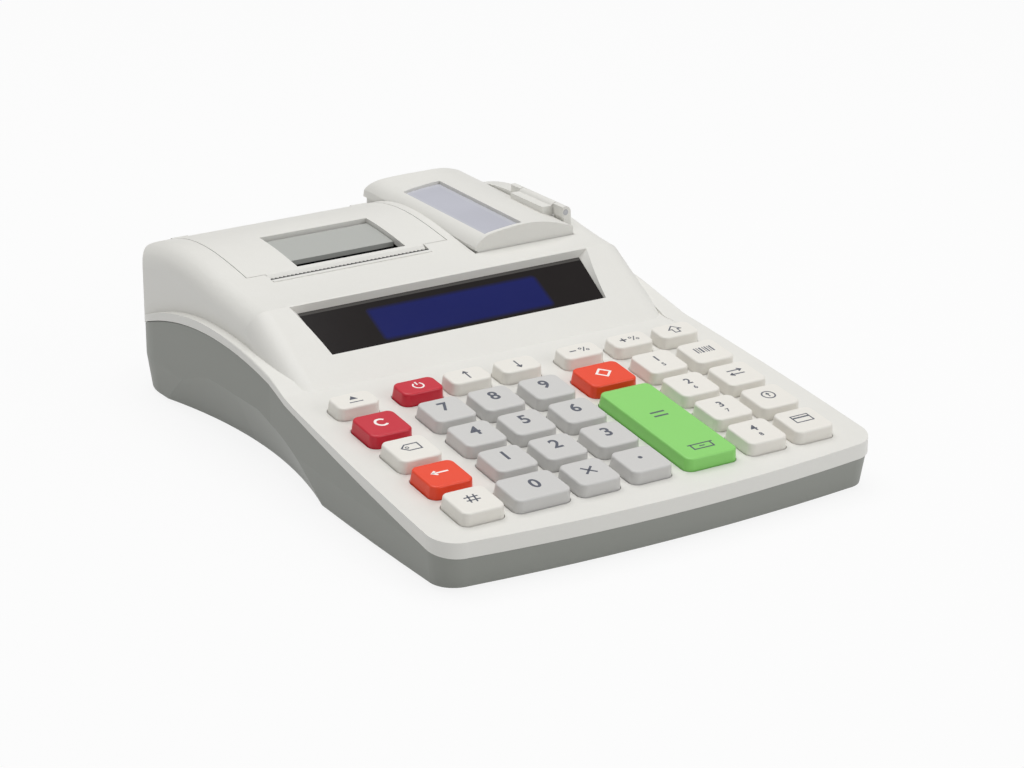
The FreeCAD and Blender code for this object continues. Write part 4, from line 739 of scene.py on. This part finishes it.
# The barcode's bars: the place along X and the width of each
BARS = ((-3.0, 0.5), (-2.0, 0.3), (-0.9, 0.7), (0.3, 0.3), (1.2, 0.5), (2.2, 0.3), (3.1, 0.6))
MARKS = {
    "zero": digit("0", 1.0, 0.6), "one": digit("1"), "two": digit("2"), "three": digit("3"),
    "four": digit("4"), "five": digit("5"), "six": digit("6"), "seven": digit("7"),
    "eight": digit("8"), "nine": digit("9"),
    "multiply": [ribbon([(-1.9, -1.3), (1.9, 2.5)], 0.75), ribbon([(-1.9, 2.5), (1.9, -1.3)], 0.75)],
    "point": [round_patch(0, 0.8, 0.75)],
    "clear": [bow(0, 0.6, 1.95, 40, 320, 0.85)],
    "on": [bow(0, 0, 1.75, 125, 415, 0.55), ribbon([(0, 0.5), (0, 2.4)], 0.55)],
    "up": arrow(0, 0, 4.6, 90), "down": arrow(0, 0, 4.6, -90),
    "feed": [patch([(-1.5, 0.1), (1.5, 0.1), (0, 2.3)]), ribbon([(-2.4, -1.6), (2.4, -1.6)], 0.45)],
    "minus_percent": [ribbon([(-3.6, 0.2), (-1.2, 0.2)], 0.6), *percent(1.8, 0.2)],
    "plus_percent": [ribbon([(-3.6, 0.2), (-1.0, 0.2)], 0.6),
                     ribbon([(-2.3, -1.1), (-2.3, 1.5)], 0.6), *percent(1.8, 0.2)],
    "void": [ribbon([(0, 2.4), (-2.3, 0.1), (-1.0, 0.1), (-1.0, -2.0), (1.0, -2.0), (1.0, 0.1),
                     (2.3, 0.1)], 0.45, closed=True)],
    "code": [ribbon([(-3.2, 0.6), (-1.4, -1.2), (3.0, -1.2), (3.0, 2.4), (-1.4, 2.4)], 0.5,
                    closed=True), bow(-1.3, 0.6, 0.5, 0, 360, 0.35)],
    "lookup": arrow(-0.2, 0.8, 5.6, 180, 0.7, 1.9),
    "price": [*[ribbon([(x - 0.4, -1.6), (x + 0.4, 2.8)], 0.55) for x in (-1.0, 1.0)],
              *[ribbon([(-2.4, y), (2.4, y)], 0.55) for y in (-0.3, 1.5)]],
    "subtotal": [ribbon([(0, 3.2), (-2.6, 0.6), (0, -2.0), (2.6, 0.6)], 0.75, closed=True)],
    "total": [*[ribbon([(-2.6, y), (2.6, y)], 0.8) for y in (3.4, 5.8)],
              ribbon([(-3.6, -17.0), (-3.6, -19.8), (3.6, -19.8), (3.6, -17.0)], 0.55),
              ribbon([(-4.6, -17.0), (4.6, -17.0)], 0.55), ribbon([(-1.0, -18.4), (1.0, -18.4)], 0.55)],
    "group_one": digit_pair("1", "5"), "group_three": digit_pair("2", "6"),
    "group_five": digit_pair("3", "7"), "group_seven": digit_pair("4", "8"),
    "group_two": [ribbon([(x, -0.9), (x, 2.7)], width) for x, width in BARS],
    "group_four": [*arrow(0, 2.0, 5.4, 0), *arrow(0, -0.4, 5.4, 180)],
    "group_six": [bow(0, 0.8, 2.2, 0, 360, 0.5), *arrow(0, 0.8, 2.2, 90, 0.45, 0.9)],
    "group_eight": [ribbon([(-3.2, -1.2), (3.2, -1.2), (3.2, 2.8), (-3.2, 2.8)], 0.45, closed=True),
                    ribbon([(-3.2, 1.5), (3.2, 1.5)], 0.7)],
}

# %% [markdown]
# A print is placed by its key alone. The deck slopes by 7.5 degrees, so each key's top is the set
# of its points that lie furthest along the deck's normal, and the print's middle is theirs.

# %% Place the prints
DECK_SLOPE = math.radians(7.5)
UP_DECK = np.array([0, math.cos(DECK_SLOPE), math.sin(DECK_SLOPE)])
OFF_DECK = np.array([0, -math.sin(DECK_SLOPE), math.cos(DECK_SLOPE)])
INK_LIFT = 0.03 * MM
TOP_WITHIN = 0.01 * MM
WHITE_INK = ("on", "clear", "subtotal", "lookup")


def key_top(node):
    """The middle of a key's top face: the mean of the extremes of its highest points off the deck."""
    points = vertices_of(NODES[node].data)
    height = points @ OFF_DECK
    top = points[height > height.max() - TOP_WITHIN]
    return (top.min(axis=0) + top.max(axis=0)) / 2


def print_marks(node, marks, finish):
    """One mesh for a key's marks. A flat point (u, v) of a mark goes to
    middle + u X + v UP_DECK + lift OFF_DECK."""
    points, faces, start = [], [], 0
    for flat_points, flat_faces in marks:
        points.append(flat_points)
        faces += [[start + v for v in face] for face in flat_faces]
        start += len(flat_points)
    uv = np.concatenate(points) * MM
    on_top = uv[:, :1] * np.array([1.0, 0, 0]) + uv[:, 1:] * UP_DECK
    places = key_top(node) + on_top + INK_LIFT * OFF_DECK
    mesh = bpy.data.meshes.new("print_" + node[4:])
    mesh.from_pydata(places.tolist(), [], faces)
    ink = put_object(mesh.name, mesh)
    film = ink.modifiers.new("Ink film", "SOLIDIFY")
    film.thickness = INK_LIFT
    film.offset = -1
    mesh.materials.append(FINISH[finish])
    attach(ink, node)


for word, marks in MARKS.items():
    print_marks("key_" + word, marks, "ink_white" if word in WHITE_INK else "ink_dark")
print("prints:", len(MARKS))

# %% [markdown]
# ## Pieces drawn as surfaces
# The last pieces are rings of points, one after another: a lathe profile p(s, a) =
# (r(s) cos a, s, -r(s) sin a), a rectangle carried along a bent line, or a section that changes on
# its way. One function closes such a grid into a mesh with its two ends filled.

# %% Surfaces from a profile and from a path
def surface_mesh(name, grid, finish, body):
    """A closed mesh from a grid of points p[i, j], whose second parameter runs round a ring."""
    rows, columns = grid.shape[:2]
    i, j = np.meshgrid(np.arange(rows - 1), np.arange(columns), indexing="ij")
    k = (j + 1) % columns
    faces = np.stack([i * columns + j, i * columns + k, (i + 1) * columns + k,
                      (i + 1) * columns + j], axis=-1)
    faces = faces.reshape(-1, 4).tolist()
    faces += [list(range(columns))[::-1], [(rows - 1) * columns + c for c in range(columns)]]
    mesh = bpy.data.meshes.new(name)
    mesh.from_pydata(grid.reshape(-1, 3).tolist(), [], faces)
    outward = bmesh.new()
    outward.from_mesh(mesh)
    bmesh.ops.recalc_face_normals(outward, faces=outward.faces)
    outward.to_mesh(mesh)
    outward.free()
    mesh.materials.append(FINISH[finish])
    piece = put_object(name, mesh)
    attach(piece, body)
    return piece


def lathe_y(profile, middle, count=32):
    """A profile of (distance along Y, radius) turned about the Y axis through middle."""
    s, r = np.array(profile, float).T
    a = np.arange(count) * 2 * math.pi / count
    x = middle[0] + r[:, None] * np.cos(a)
    z = middle[2] - r[:, None] * np.sin(a)
    y = np.broadcast_to((middle[1] + s)[:, None], x.shape)
    return np.stack([x, y, z], axis=-1) * MM


def square_path(points, wide, thick):
    """A rectangle carried along a line in the YZ plane: p + u X + v N, N being the line's normal."""
    p = np.array(points, float)
    along = np.gradient(p, axis=0)
    along /= np.linalg.norm(along, axis=1)[:, None]
    normal = np.stack([np.zeros(len(p)), -along[:, 2], along[:, 1]], axis=1)
    corners = np.array([(-0.5, -0.5), (0.5, -0.5), (0.5, 0.5), (-0.5, 0.5)])
    side = (corners[:, 0] * wide)[None, :, None] * np.array([1.0, 0, 0])
    lift = (corners[:, 1] * thick)[None, :, None] * normal[:, None, :]
    return (p[:, None, :] + side + lift) * MM


# %% [markdown]
# ### The power inlet's pin
# The round power socket has a pin on its axis, with a rounded tip just inside the rear face.

# %% Power pin
ROOT = "register_case"
PIN_X, PIN_Z = 26.0, 9.5
# Distance from the rear face and radius, in millimetres
PIN_PROFILE = [(-9.0, 0.9), (-1.6, 0.9), (-1.2, 0.85), (-0.9, 0.6), (-0.8, 0.25)]
socket_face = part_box("rear_sockets")[1].y / MM
FINISH["gold"] = metal("Gold plated contact", linear(206, 170, 92), 0.2, (1500.0, 60.0, 1500.0))
surface_mesh("power_pin", lathe_y(PIN_PROFILE, (PIN_X, socket_face, PIN_Z)), "steel_y", ROOT)

# %% [markdown]
# ### The customer's pane
# The pane over the customer's display is a moulded wedge. It is thin at its left edge, rises to the
# right and is crowned, and so comes nearer to the cover's face than the flat solid does. Its
# section is a crowned line closed by a flat underside, carried along the pane's slope.

# %% Pane
# Thickness under the face, then the left edge, the rise and the crown over it, in millimetres
PANE_WALL, PANE_EDGE, PANE_RISE, PANE_CROWN = 1.2, 0.1, 1.35, 0.25
PANE_BEVEL = 0.12 * MM
PANE_STEPS, PANE_STATIONS = 13, 20
across = np.linspace(0, 1, PANE_STEPS)
crowned = PANE_EDGE + PANE_RISE * across + PANE_CROWN * (1 - (2 * across - 1) ** 2)
section_x = np.concatenate([across, across[::-1]])
section_z = np.concatenate([crowned, np.full_like(across, -PANE_WALL)])
stations = np.linspace(pod_low.y, pod_high.y, PANE_STATIONS)
pane_face = pod_low.z / MM + PANE_WALL
pane_shape = (PANE_STATIONS, 2 * PANE_STEPS)
pane = np.stack([
    np.broadcast_to(pod_low.x + section_x * (pod_high.x - pod_low.x), pane_shape),
    np.broadcast_to(stations[:, None], pane_shape),
    (pane_face + section_z[None, :]) * MM
    + (stations[:, None] - pod_low.y) * math.tan(POD_SLOPE),
], axis=-1)
pane_piece = surface_mesh("pod_pane", pane, "pod_window", "customer_display")
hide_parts("pod_window")
pane_bevel = pane_piece.modifiers.new("Edge", "BEVEL")
pane_bevel.width = PANE_BEVEL
pane_bevel.segments = 2
pane_bevel.limit_method = "ANGLE"

# %% [markdown]
# ### Contacts in the data socket
# Six sprung gold wires stand side by side in the square socket. Each runs to the rear and sags
# towards its end, by the square of a sine.

# %% Contacts
# Millimetres, but for the two counts
CONTACTS, CONTACT_PITCH, CONTACTS_X = 6, 1.2, 42.0
WIRE_DEEP, WIRE_LONG, WIRE_TOP, WIRE_SAG = 9.6, 7.0, 12.4, 2.4
WIRE_WIDE, WIRE_THICK, WIRE_POINTS = 0.45, 0.25, 14
t = np.linspace(0, 1, WIRE_POINTS)
wire_y = socket_face - WIRE_DEEP + WIRE_LONG * t
wire_z = WIRE_TOP - WIRE_SAG * np.sin(t * math.pi / 2) ** 2
for number in range(CONTACTS):
    x = CONTACTS_X + (number - (CONTACTS - 1) / 2) * CONTACT_PITCH
    wire = np.stack([np.full_like(t, x), wire_y, wire_z], axis=1)
    surface_mesh("data_contact_%d" % (number + 1), square_path(wire, WIRE_WIDE, WIRE_THICK),
                 "gold", ROOT)
print("contacts made")

# %% [markdown]
# ## The rim beside the hood
# On the real till a pale band runs along the parting line, from the rear down to the deck, and is
# nearly as high all the way. The solid's rim thins out where the hood meets the deck, so a band
# covers it there. Its section has a rounded outer corner and runs along the parting line on each
# side.

# %% Rim bands
# The parting line, the outer wall and the band's inner edge, which lies inside the hood, as lines
# over Y in millimetres
EDGE_Y = (-14.0, -6.5, -3.34, -0.15, 5.0, 11.38, 15.63, 19.05, 24.94, 30.83, 36.7, 42.55, 44.0)
EDGE_Z = (26.2, 27.4, 28.36, 29.26, 30.57, 31.93, 32.69, 33.22, 33.95, 34.45, 34.73, 34.8, 34.77)
WALL_Y, WALL_X = (-14.0, -6.5, 5.0, 44.0), (76.64, 76.11, 75.2, 75.2)
INNER_Y = (-14.0, -6.5, 0.0, 5.0, 12.0, 19.0, 44.0)
INNER_X = (70.0, 68.4, 68.8, 70.3, 71.6, 71.9, 71.9)
BAND_HIGH, BAND_SWELL, BAND_PROUD, BAND_STATIONS = 2.38, 0.45, 0.04, 59
ROUND_LEAST, ROUND_MORE, ROUND_POINTS = 0.05, 0.7, 6
band_y = np.linspace(EDGE_Y[0], EDGE_Y[-1], BAND_STATIONS)[:, None]
along = (band_y - band_y[0]) / (band_y[-1] - band_y[0])
band_low = np.interp(band_y, EDGE_Y, EDGE_Z)
band_top = band_low + BAND_HIGH + BAND_SWELL * along * along * (3 - 2 * along)
band_outer = np.interp(band_y, WALL_Y, WALL_X) + BAND_PROUD
band_inner = np.interp(band_y, INNER_Y, INNER_X)
corner_r = ROUND_LEAST + ROUND_MORE * np.sin(math.pi * along)
bend = np.radians(np.linspace(0, 90, ROUND_POINTS))
corner_x = (band_outer - corner_r) + corner_r * np.cos(bend)
corner_z = (band_top - corner_r) + corner_r * np.sin(bend)
section_x = np.concatenate([band_outer, corner_x, band_inner, band_inner], axis=1)
section_z = np.concatenate([band_low, corner_z, band_top, band_low], axis=1)
section_y = np.broadcast_to(band_y, section_x.shape)
for side, sign in (("left", -1), ("right", 1)):
    band = np.stack([sign * section_x, section_y, section_z], axis=-1) * MM
    surface_mesh("rim_band_" + side, band, "shell", ROOT)
print("rim bands made")

# %% [markdown]
# ## Camera
# The photograph's camera was found from the grid of keys: it stands left and in front, 0.93 m
# away, and looks down by 20 degrees through a long lens. Its three axes are written out, so that
# the picture's frame is the photograph's.

# %% Camera
IMAGE_WIDTH = 1024
FOCAL_PIXELS = 3143.3
CAMERA_PLACE = Vector((-509.119, -815.230, 373.268)) * MM
camera_data = bpy.data.cameras.new("Camera")
camera_data.sensor_width = 36.0
camera_data.lens = FOCAL_PIXELS * camera_data.sensor_width / IMAGE_WIDTH
camera = put_object("Camera", camera_data)
right = Vector((0.84244672, -0.53877966, 0.0))
up = Vector((0.18717835, 0.29267583, 0.93771271))
back = Vector((-0.50522054, -0.78997300, 0.34741167))
turn = Matrix((right, up, back)).transposed().to_4x4()
camera.matrix_world = Matrix.Translation(CAMERA_PLACE) @ turn
bpy.context.scene.camera = camera
print("lens %.1f mm" % camera_data.lens)

# %% [markdown]
# ## Floor and light
# The till stands on a white sweep. To the camera, and in reflections, the sweep is close to white
# by its own colour, so the lamps need not be strong enough to bleach the till. It still takes the
# till's shadow. One broad soft lamp hangs above, a weaker one stands to the right in front, and
# the world fills the rest.

# %% Floor
# The sweep is 6 m square, with 13 lines of points each way
FLOOR_HALF, FLOOR_LINES = 3, 13
GLOW_SHARE = 0.88
floor_mesh = bpy.data.meshes.new("floor")
line = np.linspace(-FLOOR_HALF, FLOOR_HALF, FLOOR_LINES)
u, v = np.meshgrid(line, line, indexing="ij")
floor_points = np.stack([u, v, np.zeros_like(u)], axis=-1).reshape(-1, 3)
i, j = np.meshgrid(np.arange(FLOOR_LINES - 1), np.arange(FLOOR_LINES - 1), indexing="ij")
first = i * FLOOR_LINES + j
floor_faces = np.stack(
    [first, first + FLOOR_LINES, first + FLOOR_LINES + 1, first + 1], axis=-1).reshape(-1, 4)
floor_mesh.from_pydata(floor_points.tolist(), [], floor_faces.tolist())
floor = put_object("floor", floor_mesh)

sweep, sweep_tree, sweep_shader, _ = new_material("White sweep", Roughness=0.9)
sweep_shader.inputs["Base Color"].default_value = linear(226, 226, 226)
glow = sweep_tree.nodes.new("ShaderNodeEmission")
glow.inputs["Color"].default_value = (1, 1, 1, 1)
seen = sweep_tree.nodes.new("ShaderNodeLightPath")
either = math_node(sweep_tree, "MAXIMUM", seen.outputs["Is Camera Ray"], seen.outputs["Is Glossy Ray"])
either = math_node(sweep_tree, "MAXIMUM", either, seen.outputs["Is Transmission Ray"])
blend_shader = sweep_tree.nodes.new("ShaderNodeMixShader")
sweep_tree.links.new(
    math_node(sweep_tree, "MULTIPLY", either, GLOW_SHARE), blend_shader.inputs["Fac"])
sweep_tree.links.new(sweep_shader.outputs["BSDF"], blend_shader.inputs[1])
sweep_tree.links.new(glow.outputs["Emission"], blend_shader.inputs[2])
sweep_output = next(n for n in sweep_tree.nodes if n.type == "OUTPUT_MATERIAL")
sweep_tree.links.new(blend_shader.outputs["Shader"], sweep_output.inputs["Surface"])
floor_mesh.materials.append(sweep)


# %% Lamps and world
def lamp(name, place, target, size, power):
    """A square area lamp that faces its target."""
    data = bpy.data.lights.new(name, "AREA")
    data.shape = "SQUARE"
    data.size = size
    data.energy = power
    light = put_object(name, data)
    light.location = place
    light.rotation_euler = (Vector(target) - Vector(place)).to_track_quat("-Z", "Y").to_euler()


lamp("top_lamp", (0.0, 0.2, 1.5), (0, 0, 0), size=1.4, power=16.5)
lamp("front_lamp", (0.9, -1.3, 0.8), (0, 0, 0.02), size=1.0, power=6.5)
ROOM_LEVEL = 0.4
world = bpy.data.worlds.new("Soft room")
world.use_nodes = True
room = world.node_tree
background = room.nodes["Background"]
background.inputs["Color"].default_value = (1, 1, 1, 1)
paths = room.nodes.new("ShaderNodeLightPath")
direct = math_node(
    room, "MAXIMUM", paths.outputs["Is Camera Ray"], paths.outputs["Is Transmission Ray"])
seen_more = math_node(room, "MULTIPLY", direct, 1.0 - ROOM_LEVEL)
strength = math_node(room, "ADD", seen_more, ROOM_LEVEL)
room.links.new(strength, background.inputs["Strength"])
bpy.context.scene.world = world
bpy.context.scene.view_settings.view_transform = "Standard"
